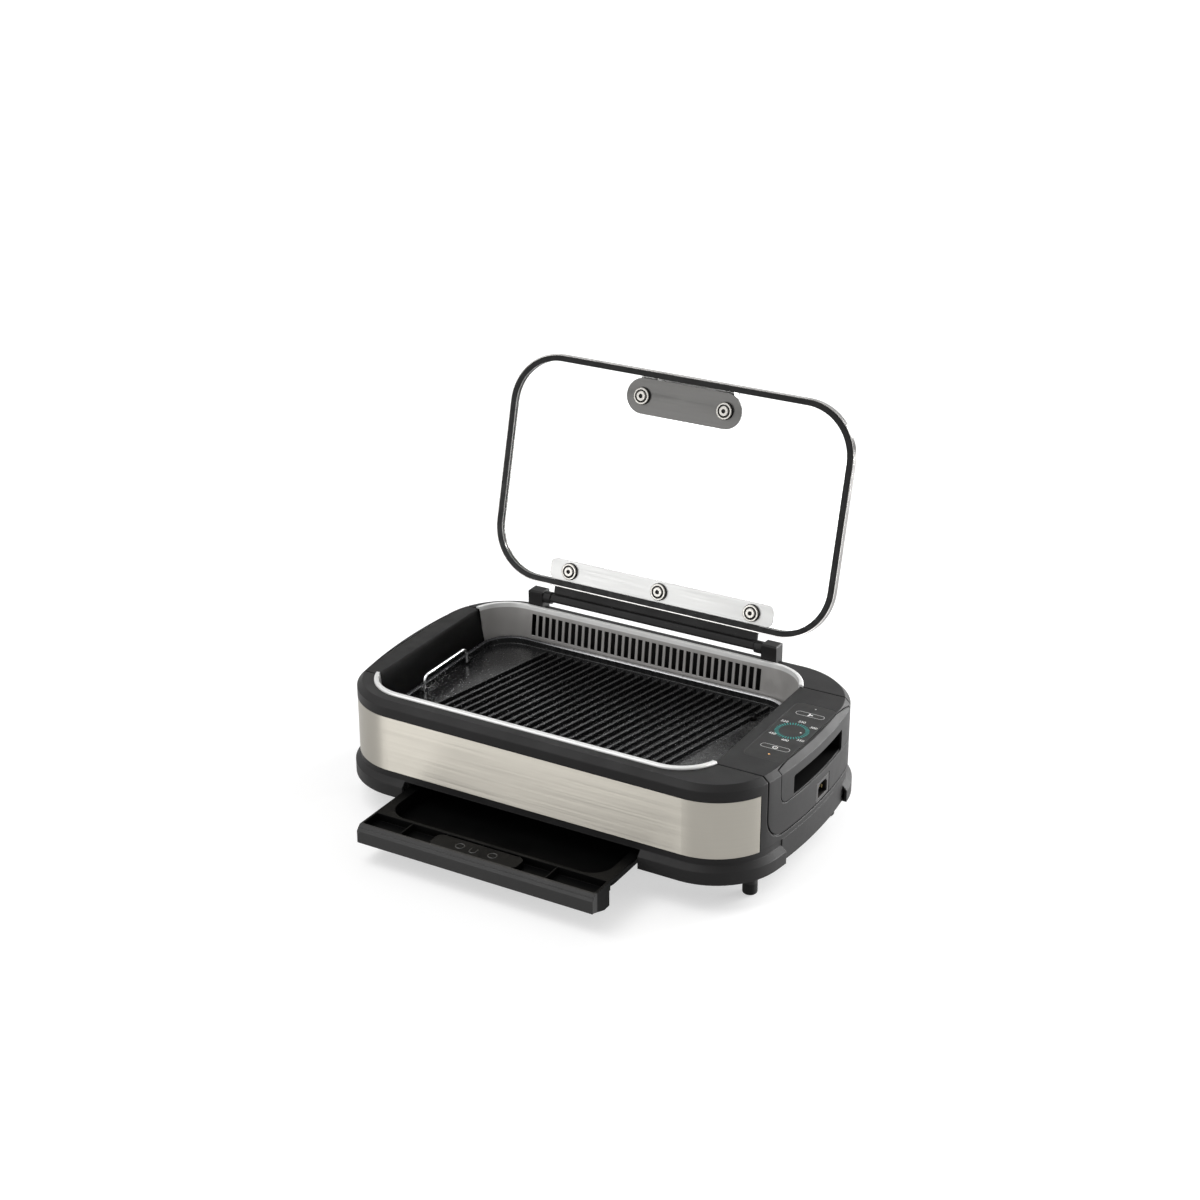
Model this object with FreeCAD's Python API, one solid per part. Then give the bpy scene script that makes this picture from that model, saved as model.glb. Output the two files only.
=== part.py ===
import FreeCAD
import Part
import math
import os

# An indoor grill with a hinged glass lid, modelled in millimetres.
# +X runs along the body to the control end, -Y is the front, +Z is up.
# Pieces are drawn about the middle of the body on the counter that the feet stand on.
# The lid is drawn shut and then turned open about its hinge; the drawer is drawn pulled out.

# Body outline: straight front and back, rounded corners, gently bowed ends
body_length = 550.0
body_depth = 328.0
end_bow_radius = 640.0
corner_radius = 78.0
rear_corner_radius = 92.0

# Heights above the counter
skirt_bottom = 35.0
skirt_face_top = 50.0
skirt_chamfer_top = 56.0
band_bottom = 64.0
band_top = 133.0
body_top = 151.5

# Walls and general clearances
housing_wall = 3.5
casing_wall = 3.0
skirt_wall = 4.0
seam = 0.4
seat_gap = 0.3
top_chamfer = 6.5
pin_running_gap = 0.05
groove_width = 1.6
groove_depth = 2.0
fine_groove_width = 0.7
touch_gap = 0.15
cutter_reach = 20.0
over = 1.0
hair = 0.01

# Skirt, floor and feet
skirt_flare = 5.5
skirt_ledge = 2.5
skirt_side_from_end = 85.0
floor_thickness = 3.0
foot_from_end = 32.0
foot_from_front = 64.0
foot_radius = 8.5
foot_height = 14.0
foot_round = 2.5
foot_spigot_radius = 4.0
foot_spigot_length = 6.0
drip_window_side = 27.0
drip_window_depth = 170.0
drip_window_y = -30.0
drip_window_corner = 20.0

# Steel band round the front
band_thickness = 0.8
band_recess = 1.0
band_wrap = 47.0

# Well, its silver liner and the things hung in it
well_past_module = 6.0
well_past_insert = 5.0
frame_width = 18.0
well_corner = 56.0
liner_lip_width = 5.0
liner_lip_height = 3.0
liner_lip_round = 1.8
liner_sheet = 1.2
liner_draft = 5.5
liner_lip_cover = 2.5
ledge_height = 98.0
ledge_width = 16.0
vent_count = 34
vent_from_end = 70.9
vent_width = 5.9
vent_bottom = 117.0
vent_top = 144.5
vent_shift = -4.0

# End pieces: control module on the right, grip insert on the left
end_piece_from_front = 57.0
end_piece_bottom = 72.0
end_piece_corner = 28.0
end_face_slope = 10.0
end_face_foot = 105.0
module_length = 75.0
insert_length = 34.0
grip_centre_y = 7.0
grip_from_seam = 16.0
grip_depth = 10.0
grip_bottom = 108.0
grip_corner = 12.0
grip_leg = 28.25
hand_hold_shift = -2.75
hand_hold_top = 133.0
hand_hold_depth = 30.0
hand_hold_corner = 3.0

# Touch panel and board
touch_from_seam = 36.0
touch_width = 49.0
touch_thickness = 1.2
touch_from_end = 36.0
touch_corner = 8.0
board_thickness = 1.6
board_margin = 4.0
board_drop = 9.0
board_post_radius = 2.0
chip_size = 14.0
chip_height = 2.5

# Mains inlet in the control end
inlet_y = 12.5
inlet_z = 85.0
inlet_flange_width = 34.0
inlet_flange_height = 23.5
inlet_flange_set = 0.2
inlet_opening_width = 24.0
inlet_opening_height = 16.5
inlet_depth = 17.0
inlet_wall = 2.0
inlet_key = 4.5
inlet_pin_width = 4.0
inlet_pin_thickness = 2.0
inlet_pin_length = 14.0
inlet_pin_spread = 7.0
inlet_pin_rise = 2.0

# Grill plate and its wire bails
plate_end_gap = 18.0
plate_side_gap = 12.5
plate_corner = 42.0
plate_rim_height = 7.5
plate_rim_width = 5.0
plate_skirt_width = 6.0
plate_floor_rise = 8.0
plate_floor_thickness = 3.5
rib_count = 26
rib_width = 5.0
rib_flat_share = 0.3
rib_height = 5.5
rib_bite = 0.5
rib_from_end = 32.0
rib_from_side = 17.5
rib_angle = 12.0
drain_radius = 6.0
drain_from_end = 38.5
drain_from_side = 46.5
bail_wire = 4.0
bail_half = 46.0
bail_rise = 18.0
bail_bend = 9.0
bail_axis_rise = 3.5
bail_inset = 9.0
bail_lug_thickness = 5.0
bail_lug_half = 4.0
right_bail_lean = 20.0

# Heating element, its tray and probe
element_diameter = 7.0
element_from_end = 58.0
element_from_side = 46.5
element_runs = 4
element_gap = 1.0
shield_sheet = 1.2
shield_drop = 15.0
shield_inset = 3.0
shield_window_end = 88.0
shield_window_depth = 150.0
shield_window_corner = 16.0
clip_width = 8.0
clip_gap = 0.4
probe_diameter = 5.0
probe_length = 60.0

# Fan behind the drawer
fan_from_back = 47.0
fan_case = 74.0
fan_case_height = 18.5
fan_case_wall = 2.0
fan_case_corner = 5.0
impeller_radius = 31.0
impeller_hub_radius = 11.0
impeller_height = 12.0
impeller_rise = 1.0
blade_bite = 1.0
shaft_end_gap = 0.6
motor_gap = 0.6
impeller_blades = 18
blade_thickness = 1.4
blade_lean = 28.0
motor_radius = 9.0
motor_height = 8.0
shaft_radius = 1.5
intake_radius = 27.0
exhaust_slots = 9
least_slot_half = 6.0
fan_cut_margin = 3.0
spider_margin = 1.0
spider_arm = 3.0

# Drip drawer, drawn pulled out
drawer_shift = 6.0
drawer_from_well_end = 74.0
drawer_short_of_back = 78.0
drawer_out = 92.5
drawer_top = 47.0
drawer_front_chamfer = 6.0
drawer_front_bottom = 26.0
drawer_front_thickness = 3.0
drawer_wall = 2.0
drawer_flange = 10.0
drawer_flange_thickness = 3.0
pan_corner = 28.0
pan_floor = 27.0
front_tray_depth = 38.0
front_tray_floor = 38.0
front_rib_pitch = 47.0
front_rib_count = 5
front_rib_shift = -7.0
front_rib_half = 0.8
front_rib_drop = 1.0
finger_plate_drop = 0.5
bite = 0.5
finger_plate_length = 112.0
finger_plate_depth = 24.0
finger_plate_corner = 8.0
cheek_bottom = 18.0
cheek_depth = 36.0
cheek_thickness = 3.0
cheek_slope = 22.0
slot_clearance = 2.5
slot_top = 55.5
rail_web = 2.5
rail_lip = 7.0
rail_from_front = 38.0
rail_from_back = 80.0
rail_gap = 0.4

# Hinge
hinge_from_back = 10.0
hinge_z = 165.0
hinge_block_from_lid_end = 79.5
hinge_shift = -2.5
hinge_block_width = 20.0
hinge_block_behind = 9.5
hinge_block_above = 8.0
hinge_block_round = 2.0
hinge_pin_radius = 3.0
hinge_pin_bite = 14.0
hinge_pin_cover = 4.0
hinge_bar_short = 11.0
hinge_bar_above = 6.0
hinge_bar_below = 4.5
hinge_bar_round = 3.0
hinge_sleeve_radius = 4.5
hinge_bar_half_thickness = 6.0
hinge_knuckle_radius = 7.5
knuckle_length = 10.0
flange_thickness = 3.5
flange_reach = 48.5
flange_gap = 0.5
lid_open_angle = 104.4

# Lid, drawn shut
lid_shift = 1.5
lid_past_well_end = 4.0
lid_inside_well_side = 5.0
lid_corner = 66.0
lid_rear_from_hinge = 18.0
rim_width = 8.0
rim_height = 9.0
rim_sheet = 1.4
rim_edge_round = 2.0
glass_thickness = 4.0
glass_hole_gap = 0.6
glass_groove_gap = 0.1
gasket_width = 6.6
gasket_thickness = 1.6
gasket_inset = 1.6
hinge_plate_from_lid_end = 78.0
hinge_plate_depth = 26.0
hinge_plate_thickness = 1.5
hinge_plate_corner = 8.0
hinge_plate_from_edge = 8.5
hinge_screw_inset = 28.0
fittings_shift = 5.5

# Lid handle
handle_from_front = 32.0
handle_plate_length = 153.0
handle_plate_width = 43.0
handle_plate_thickness = 2.0
handle_screw_inset = 21.25
grip_length = 124.0
grip_width = 28.0
grip_ahead = 10.0
grip_height = 36.0
grip_thickness = 11.0
grip_post = 22.0
grip_round = 4.0
grip_outer_bend = 26.0
grip_inner_bend = 14.0
grip_hole_depth = 15.0

# Lid screws with stacked washers
washer_radius = 10.6
washer_thickness = 1.6
collar_radius = 10.2
collar_thickness = 2.4
collar_round = 0.8
collar_bore = 7.9
collar_base = 0.8
head_radius = 6.4
head_height = 3.2
head_round = 1.2
socket_radius = 2.6
socket_depth = 1.8
screw_radius = 2.0
hole_gap = 0.2
screw_length = 15.0
screw_boss_radius = 6.5

# Small screws under the base
small_screw_radius = 3.4
small_screw_height = 2.0
screw_from_foot = 34.0
screw_from_fan = 12.0

# Values worked out from the sizes above
half_length = body_length / 2
half_depth = body_depth / 2
skirt_side_half = half_depth - skirt_side_from_end
foot_x = half_length - foot_from_end
foot_y = half_depth - foot_from_front
band_end_y = band_wrap - half_depth

module_inner_x = half_length - module_length
insert_inner_x = insert_length - half_length
end_piece_half = half_depth - end_piece_from_front
grip_bar_half = end_piece_half - grip_from_seam
hand_hold_half = grip_bar_half - grip_leg
hand_hold_y = grip_centre_y + hand_hold_shift
touch_length = 2 * (end_piece_half - touch_from_seam)
touch_centre_x = half_length - touch_from_end

well_right = module_inner_x + well_past_module
well_left = insert_inner_x - well_past_insert
well_centre_x = (well_left + well_right) / 2
well_length = well_right - well_left
well_depth = body_depth - 2 * frame_width
lip_top = body_top + liner_lip_height
vent_pitch = (well_length - 2 * vent_from_end) / (vent_count - 1)
vent_centre_x = well_centre_x + vent_shift

plate_length = well_length - 2 * plate_end_gap
plate_depth = well_depth - 2 * plate_side_gap
plate_underside = ledge_height + liner_sheet + seat_gap
plate_floor_top = ledge_height + plate_floor_rise
plate_rim_top = plate_floor_top + plate_rim_height
rib_top = plate_floor_top + rib_height
bail_axis_z = plate_floor_top + bail_axis_rise
rib_field_length = plate_length - 2 * rib_from_end
rib_field_depth = plate_depth - 2 * rib_from_side
drain_x = well_centre_x + plate_length / 2 - drain_from_end
drain_y = plate_depth / 2 - drain_from_side
element_run_half = plate_length / 2 - element_from_end
element_pitch = (plate_depth - 2 * element_from_side) / (element_runs - 1)
element_z = plate_floor_top - plate_floor_thickness - element_gap - element_diameter / 2
shield_z = ledge_height - shield_drop
shield_window_length = plate_length - 2 * shield_window_end
probe_start_x = module_inner_x - end_face_slope - ledge_width - probe_length
probe_y = (element_runs / 2 - 1) * element_pitch

floor_top = band_bottom - seat_gap
floor_bottom = floor_top - floor_thickness
fan_x = well_centre_x
fan_y = half_depth - fan_from_back
drawer_centre_x = well_centre_x + drawer_shift
drawer_width = well_length - 2 * drawer_from_well_end
drawer_depth = body_depth - drawer_short_of_back
drawer_front_y = -(half_depth + skirt_flare) - drawer_out
drawer_left = drawer_centre_x - drawer_width / 2
drawer_right = drawer_centre_x + drawer_width / 2
drawer_rear_y = drawer_front_y + drawer_depth
drip_window_length = drawer_width - 2 * drip_window_side
rail_start_y = rail_from_front - half_depth
web_start_y = skirt_wall + seat_gap - half_depth
rail_end_y = half_depth - rail_from_back

hinge_y = half_depth - hinge_from_back
lid_centre_x = well_centre_x + lid_shift
hinge_centre_x = lid_centre_x + hinge_shift
fittings_x = lid_centre_x + fittings_shift
lid_length = well_length + 2 * lid_past_well_end
lid_depth = well_depth - 2 * lid_inside_well_side
lid_rear_y = hinge_y - lid_rear_from_hinge
lid_centre_y = lid_rear_y - lid_depth / 2
rim_middle_z = lip_top + seat_gap + gasket_thickness + rim_height / 2
hinge_block_inner = lid_length / 2 - hinge_block_from_lid_end
hinge_bar_half = hinge_block_inner - hinge_bar_short
hinge_plate_length = lid_length - 2 * hinge_plate_from_lid_end
hinge_screw_spread = hinge_plate_length / 2 - hinge_screw_inset
handle_from_rear = lid_depth - handle_from_front
handle_screw_spread = handle_plate_length / 2 - handle_screw_inset

X = FreeCAD.Vector(1, 0, 0)
Y = FreeCAD.Vector(0, 1, 0)
Z = FreeCAD.Vector(0, 0, 1)


def at(x, y, z):
    """A point or vector."""
    return FreeCAD.Vector(x, y, z)


def box(x0, x1, y0, y1, z0, z1):
    """A block between two corners."""
    return Part.makeBox(x1 - x0, y1 - y0, z1 - z0, at(x0, y0, z0))


def rod(radius, start, direction, length):
    """A round bar from a start point."""
    return Part.makeCylinder(radius, length, start, direction)


def prism(points, direction):
    """A flat polygon pushed along a direction."""
    wire = Part.makePolygon(points + points[:1])
    return Part.Face(wire).extrude(direction)


def union(shapes):
    """One solid from several touching ones, with the leftover seams removed."""
    first = shapes[0]
    return first.fuse(shapes[1:]).removeSplitter()


def arc_through(centre, radius, start_angle, end_angle, z):
    """An arc about a centre, angles in degrees."""
    points = []
    for angle in (start_angle, (start_angle + end_angle) / 2, end_angle):
        turn = math.radians(angle)
        points.append(at(centre[0] + radius * math.cos(turn), centre[1] + radius * math.sin(turn), z))
    return Part.Arc(*points).toShape()


def end_corner(radius):
    """Where a corner arc that touches the long side and the bowed end has its centre, and its end angle."""
    reach_y = half_depth - radius
    span = math.sqrt((end_bow_radius - radius) ** 2 - reach_y ** 2)
    return half_length - end_bow_radius + span, reach_y, math.degrees(math.atan2(reach_y, span))


def body_wire(offset, z):
    """The body's plan outline, grown by an offset: straights, corner arcs and bowed ends, all tangent."""
    bow = end_bow_radius + offset
    bow_x = half_length - end_bow_radius
    front = corner_radius + offset
    rear = rear_corner_radius + offset
    front_x, front_y, front_tilt = end_corner(corner_radius)
    rear_x, rear_y, rear_tilt = end_corner(rear_corner_radius)
    edge_y = half_depth + offset
    edges = [
        Part.makeLine(at(-front_x, -edge_y, z), at(front_x, -edge_y, z)),
        arc_through((front_x, -front_y), front, -90, -front_tilt, z),
        arc_through((bow_x, 0), bow, -front_tilt, rear_tilt, z),
        arc_through((rear_x, rear_y), rear, rear_tilt, 90, z),
        Part.makeLine(at(rear_x, edge_y, z), at(-rear_x, edge_y, z)),
        arc_through((-rear_x, rear_y), rear, 90, 180 - rear_tilt, z),
        arc_through((-bow_x, 0), bow, 180 - rear_tilt, 180 + front_tilt, z),
        arc_through((-front_x, -front_y), front, 180 + front_tilt, 270, z),
    ]
    return Part.Wire(edges)


def body_slab(offset, z0, z1):
    """The body's outline as a plate between two heights."""
    return Part.Face(body_wire(offset, z0)).extrude(at(0, 0, z1 - z0))


def body_taper(offset0, z0, offset1, z1):
    """The body's outline changing its offset between two heights."""
    return Part.makeLoft([body_wire(offset0, z0), body_wire(offset1, z1)], True, True)


def rounded_wire(centre, length, depth, corner, z):
    """A rectangle with round corners."""
    x, y = centre
    a = length / 2 - corner
    b = depth / 2 - corner
    edges = [
        Part.makeLine(at(x - a, y - b - corner, z), at(x + a, y - b - corner, z)),
        arc_through((x + a, y - b), corner, -90, 0, z),
        Part.makeLine(at(x + a + corner, y - b, z), at(x + a + corner, y + b, z)),
        arc_through((x + a, y + b), corner, 0, 90, z),
        Part.makeLine(at(x + a, y + b + corner, z), at(x - a, y + b + corner, z)),
        arc_through((x - a, y + b), corner, 90, 180, z),
        Part.makeLine(at(x - a - corner, y + b, z), at(x - a - corner, y - b, z)),
        arc_through((x - a, y - b), corner, 180, 270, z),
    ]
    return Part.Wire(edges)


def rounded_slab(centre, length, depth, corner, z0, z1):
    """A plate with round corners between two heights."""
    return Part.Face(rounded_wire(centre, length, depth, corner, z0)).extrude(at(0, 0, z1 - z0))


def well_slab(offset, z0, z1):
    """The well's outline, grown by an offset, as a plate."""
    return rounded_slab((well_centre_x, 0), well_length + 2 * offset, well_depth + 2 * offset,
                        well_corner + offset, z0, z1)


def well_taper(offset0, z0, offset1, z1):
    """The well's outline changing its offset between two heights."""
    wires = []
    for offset, z in ((offset0, z0), (offset1, z1)):
        wires.append(rounded_wire((well_centre_x, 0), well_length + 2 * offset,
                                  well_depth + 2 * offset, well_corner + offset, z))
    return Part.makeLoft(wires, True, True)


def lid_slab(offset, z0, z1):
    """The lid's outline, grown by an offset, as a plate."""
    return rounded_slab((lid_centre_x, lid_centre_y), lid_length + 2 * offset, lid_depth + 2 * offset,
                        lid_corner + offset, z0, z1)


def body_block():
    """The body's upper mass, with the chamfer round its top edge."""
    lower = body_slab(0, band_bottom, body_top - top_chamfer)
    upper = body_taper(0, body_top - top_chamfer, -top_chamfer, body_top)
    return lower.fuse(upper).removeSplitter()


def body_room(wall, z0):
    """The space inside a wall of even thickness: the body's outline and top chamfer, both moved in."""
    set_in = top_chamfer + wall * (math.sqrt(2) - 1)
    lower = body_slab(-wall, z0, body_top - set_in)
    upper = body_taper(-wall, body_top - set_in, -set_in, body_top - wall)
    return lower.fuse(upper).removeSplitter()


def end_window(inset, x0, x1, y_centre=0.0):
    """The U-shaped side outline of an end piece, pushed along X."""
    half = end_piece_half - inset
    low = end_piece_bottom + inset
    corner = end_piece_corner - inset
    high = body_top + cutter_reach
    centre_left = at(x0, y_centre - half + corner, low + corner)
    centre_right = at(x0, y_centre + half - corner, low + corner)
    bend = corner * math.sqrt(0.5)
    left = Part.Arc(at(x0, y_centre - half, low + corner), centre_left + at(0, -bend, -bend),
                    at(x0, y_centre - half + corner, low)).toShape()
    right = Part.Arc(at(x0, y_centre + half - corner, low), centre_right + at(0, bend, -bend),
                     at(x0, y_centre + half, low + corner)).toShape()
    edges = [
        left,
        Part.makeLine(at(x0, y_centre - half + corner, low), at(x0, y_centre + half - corner, low)),
        right,
        Part.makeLine(at(x0, y_centre + half, low + corner), at(x0, y_centre + half, high)),
        Part.makeLine(at(x0, y_centre + half, high), at(x0, y_centre - half, high)),
        Part.makeLine(at(x0, y_centre - half, high), at(x0, y_centre - half, low + corner)),
    ]
    return Part.Face(Part.Wire(edges)).extrude(at(x1 - x0, 0, 0))


def side_of(inner_x):
    """Plus one for the right end and minus one for the left end."""
    return 1.0 if inner_x > 0 else -1.0


def end_wedge(inner_x, inset, half):
    """The room of an end piece seen from the front: a sloped inner face, open to the outside."""
    side = side_of(inner_x)
    far_x = side * (half_length + cutter_reach)
    foot_x_in = inner_x - side * end_face_slope + side * inset
    top_x_in = inner_x + side * inset
    low = end_piece_bottom - cutter_reach
    high = body_top - inset
    points = [at(foot_x_in, -half, low), at(foot_x_in, -half, end_face_foot), at(top_x_in, -half, high),
              at(far_x, -half, high), at(far_x, -half, low)]
    return prism(points, at(0, 2 * half, 0))


def side_window(x0, x1, y_middle, y_half, z0, z1, corner):
    """A rectangle with round corners seen from the end, pushed along X."""
    shape = rounded_slab((0, 0), 2 * y_half, z1 - z0, corner, 0, abs(x1 - x0))
    shape.rotate(at(0, 0, 0), X, 90)
    shape.rotate(at(0, 0, 0), Z, 90)
    shape.translate(at(min(x0, x1), y_middle, (z0 + z1) / 2))
    return shape


def hand_hold(side, grow):
    """The block of air that fingers reach into, at one end, grown by a wall."""
    outer = side * (half_length + cutter_reach)
    inner = side * (half_length - hand_hold_depth - grow)
    return side_window(inner, outer, hand_hold_y, hand_hold_half + grow, grip_bottom - grow,
                       hand_hold_top + grow, hand_hold_corner + grow)


def grip_room(side, grow):
    """The outline of the carry grip on one end, from its bottom edge up past the body's top."""
    inner = side * (half_length - grip_depth - grow)
    outer = side * (half_length + cutter_reach)
    return side_window(inner, outer, grip_centre_y, grip_bar_half + grow, grip_bottom - grow,
                       body_top + 3 * grip_corner, grip_corner + grow)


def make_housing():
    """Upper moulding: outer wall and top frame, cut open for the well and the two end pieces."""
    shell = body_block()
    room = body_room(housing_wall, band_bottom - over)
    shell = shell.cut(room)
    shell = shell.cut(well_slab(-liner_lip_cover, body_top - housing_wall - over, body_top + over))
    skin = body_room(groove_depth, band_bottom - over)
    far = half_length + cutter_reach
    slope = end_face_slope + over
    for x0, x1 in ((module_inner_x - slope, far), (-far, insert_inner_x + slope)):
        shell = shell.cut(end_window(0, x0, x1))
        shell = shell.cut(end_window(-groove_width, x0, x1).cut(skin))
    shell = shell.cut(band_room(band_recess, 0.0))
    return shell


def band_room(depth, slack):
    """The shallow strip round the front that the steel band lies in."""
    ring = body_slab(over, band_bottom - over, band_top + slack)
    ring = ring.cut(body_slab(-depth, band_bottom - 2 * over, band_top + slack + over))
    front = box(-half_length - cutter_reach, half_length + cutter_reach, -half_depth - cutter_reach,
                band_end_y + slack, band_bottom - 2 * over, band_top + slack)
    return ring.common(front)


def make_steel_band():
    """Thin steel strip wrapped round the front and both front corners."""
    outer = body_slab(-band_recess + band_thickness, band_bottom + seam, band_top - seam)
    ring = outer.cut(body_slab(-band_recess, band_bottom, band_top))
    front = box(-half_length - cutter_reach, half_length + cutter_reach, -half_depth - cutter_reach,
                band_end_y - seam, band_bottom, band_top)
    return ring.common(front)


def end_boxes(half):
    """The two stretches of the ends where the skirt runs straight down."""
    reach = half_length + skirt_flare + cutter_reach
    near = half_length - corner_radius / 2
    right = box(near, reach, -half, half, skirt_bottom - over, band_bottom + over)
    left = box(-reach, -near, -half, half, skirt_bottom - over, band_bottom + over)
    return right.fuse(left)


def make_skirt():
    """Lower moulding: a ring that flares out round the front, the back and all corners, hollow inside."""
    strip = -band_recess
    flare = body_slab(strip, skirt_chamfer_top, band_bottom)
    flare = flare.fuse(body_taper(skirt_flare, skirt_face_top, strip, skirt_chamfer_top))
    flare = flare.fuse(body_slab(skirt_flare, skirt_bottom, skirt_face_top))
    hollow = body_slab(skirt_flare - casing_wall, skirt_bottom + skirt_ledge, skirt_face_top - over)
    hollow = hollow.cut(body_slab(casing_wall - skirt_wall, skirt_bottom, skirt_face_top))
    hollow = hollow.fuse(body_slab(-skirt_wall, skirt_bottom - over, band_bottom + over))
    straight = body_slab(0, skirt_bottom, band_bottom)
    straight = straight.cut(body_slab(-skirt_wall, skirt_bottom - over, band_bottom + over))
    ends = end_boxes(skirt_side_half)
    ring = flare.cut(hollow).cut(ends).fuse(straight.common(ends)).removeSplitter()
    slot = box(drawer_left - slot_clearance, drawer_right + slot_clearance, -half_depth - 2 * skirt_flare,
               corner_radius - half_depth, skirt_bottom - over, slot_top)
    return ring.cut(slot)


def foot_places():
    """The four feet, front left first."""
    return [(-foot_x, -foot_y), (foot_x, -foot_y), (-foot_x, foot_y), (foot_x, foot_y)]


def make_floor():
    """Floor plate inside the skirt, with foot bosses, the drip window and the fan's outlet slots."""
    plate = body_slab(-skirt_wall - seat_gap, floor_bottom, floor_top)
    window = rounded_slab((drawer_centre_x, drip_window_y), drip_window_length, drip_window_depth,
                          drip_window_corner, floor_bottom - over, floor_top + over)
    plate = plate.cut(window)
    bosses = []
    for x, y in foot_places():
        bosses.append(rod(foot_radius, at(x, y, foot_height), Z, floor_bottom - foot_height + over))
    plate = union([plate] + bosses)
    for x, y in foot_places():
        bore = rod(foot_spigot_radius + seat_gap / 2, at(x, y, foot_height), Z, foot_spigot_length + seat_gap)
        plate = plate.cut(bore)
    slot_pitch = 2 * intake_radius / exhaust_slots
    for index in range(exhaust_slots):
        x = fan_x + (index - (exhaust_slots - 1) / 2) * slot_pitch
        half = math.sqrt(max(intake_radius ** 2 - (x - fan_x) ** 2, least_slot_half ** 2))
        plate = plate.cut(box(x - slot_pitch / 4, x + slot_pitch / 4, fan_y - half, fan_y + half,
                              floor_bottom - over, floor_top + over))
    return plate


def make_feet():
    """Four rubber feet, each with a spigot in its boss."""
    feet = []
    for x, y in foot_places():
        pad = rod(foot_radius, at(x, y, 0), Z, foot_height)
        rim = [edge for edge in pad.Edges if edge.BoundBox.ZMax < 0.01]
        pad = pad.makeFillet(foot_round, rim)
        spigot = rod(foot_spigot_radius, at(x, y, foot_height - bite), Z, foot_spigot_length)
        feet.append(pad.fuse(spigot).removeSplitter())
    return Part.makeCompound(feet)


def make_liner():
    """Silver surround of the well: a lip on the frame, drafted walls, a ledge and rear vents."""
    foot = -liner_lip_width - liner_draft
    lip = well_slab(0, body_top, lip_top)
    crown = [edge for edge in lip.Edges if edge.BoundBox.ZMin > lip_top - hair]
    lip = lip.makeFillet(liner_lip_round, crown)
    lip = lip.cut(well_slab(-liner_lip_width, body_top - over, lip_top + over))
    outer = well_taper(foot, ledge_height, -liner_lip_width + liner_sheet, lip_top)
    inner = well_taper(foot - liner_sheet, ledge_height, -liner_lip_width, lip_top)
    wall = outer.cut(inner)
    ledge = well_slab(foot, ledge_height, ledge_height + liner_sheet)
    ledge = ledge.cut(well_slab(foot - ledge_width, ledge_height - over, ledge_height + liner_sheet + over))
    liner = union([lip, wall, ledge])
    for inner_x in (module_inner_x, insert_inner_x):
        side = side_of(inner_x)
        face = inner_x - side * (end_face_slope + seat_gap)
        far = side * (half_length + cutter_reach)
        liner = liner.cut(box(min(face, far), max(face, far), -end_piece_half, end_piece_half,
                              ledge_height - over, lip_top + over))
    for index in range(vent_count):
        x = vent_centre_x + (index - (vent_count - 1) / 2) * vent_pitch
        liner = liner.cut(box(x - vent_width / 2, x + vent_width / 2, well_depth / 4, well_depth / 2 + over,
                              vent_bottom, vent_top))
    return liner


def end_piece(inner_x):
    """A hollow end piece: outer skin flush with the body, top, sides and a sloped inner face."""
    side = side_of(inner_x)
    near = inner_x - side * (end_face_slope + casing_wall + over)
    far = side * (half_length + cutter_reach)
    skin = body_block().common(end_window(seam, min(near, far), max(near, far)))
    skin = skin.common(end_wedge(inner_x, 0.0, half_depth))
    room = body_room(casing_wall, band_bottom - over)
    room = room.common(end_window(seam + casing_wall, min(near, far), max(near, far)))
    room = room.common(end_wedge(inner_x, casing_wall, half_depth))
    piece = skin.cut(room)
    groove = grip_room(side, seam + fine_groove_width).cut(body_room(groove_depth, band_bottom))
    return piece.cut(grip_room(side, seam)).cut(groove).cut(hand_hold(side, 0.0))


def carry_grip(side):
    """The carry grip let into an end piece: a bar across the top with a leg each side of the hand hold."""
    shape = body_block().common(grip_room(side, 0.0))
    shape = shape.cut(body_room(casing_wall, band_bottom))
    return shape.cut(hand_hold(side, 0.0))


def make_hand_cup(side):
    """The closed cup behind a hand hold that keeps fingers out of the works."""
    wall = casing_wall / 2
    cup = hand_hold(side, wall).cut(hand_hold(side, 0.0))
    return cup.common(body_room(casing_wall + seat_gap, band_bottom))


def make_module():
    """Casing of the control end, with the touch panel's recess and the inlet's hole."""
    piece = end_piece(module_inner_x)
    recess = rounded_slab((touch_centre_x, 0), touch_width + 2 * touch_gap, touch_length + 2 * touch_gap,
                          touch_corner, body_top - touch_thickness, body_top + over)
    piece = piece.cut(recess)
    piece = piece.cut(inlet_hole(seam))
    return piece.cut(inlet_hole(seam + fine_groove_width).cut(body_room(groove_depth, band_bottom)))


def inlet_hole(grow):
    """The hole that the inlet's flange lies in, grown by a clearance."""
    half_width = inlet_flange_width / 2 + grow
    half_height = inlet_flange_height / 2 + grow
    return box(half_length - 2 * cutter_reach, half_length + cutter_reach, inlet_y - half_width,
               inlet_y + half_width, inlet_z - half_height, inlet_z + half_height)


def make_touch_panel():
    """Thin dark panel that carries the touch marks."""
    return rounded_slab((touch_centre_x, 0), touch_width, touch_length, touch_corner - touch_gap,
                        body_top - touch_thickness, body_top)


def make_board():
    """Circuit board hung under the module's top on four posts."""
    top = body_top - casing_wall - board_drop
    length = touch_length - 2 * board_margin
    width = touch_width - 4 * board_margin
    board = rounded_slab((touch_centre_x, 0), width, length, 2, top - board_thickness, top)
    posts = []
    for x in (-1, 1):
        for y in (-1, 1):
            post_x = touch_centre_x + x * (width / 2 - board_margin)
            post_y = y * (length / 2 - board_margin)
            posts.append(rod(board_post_radius, at(post_x, post_y, top), Z, board_drop - seat_gap))
    half = chip_size / 2
    chip = box(touch_centre_x - half, touch_centre_x + half, -half, half, top, top + chip_height)
    return union([board, chip] + posts)


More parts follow.
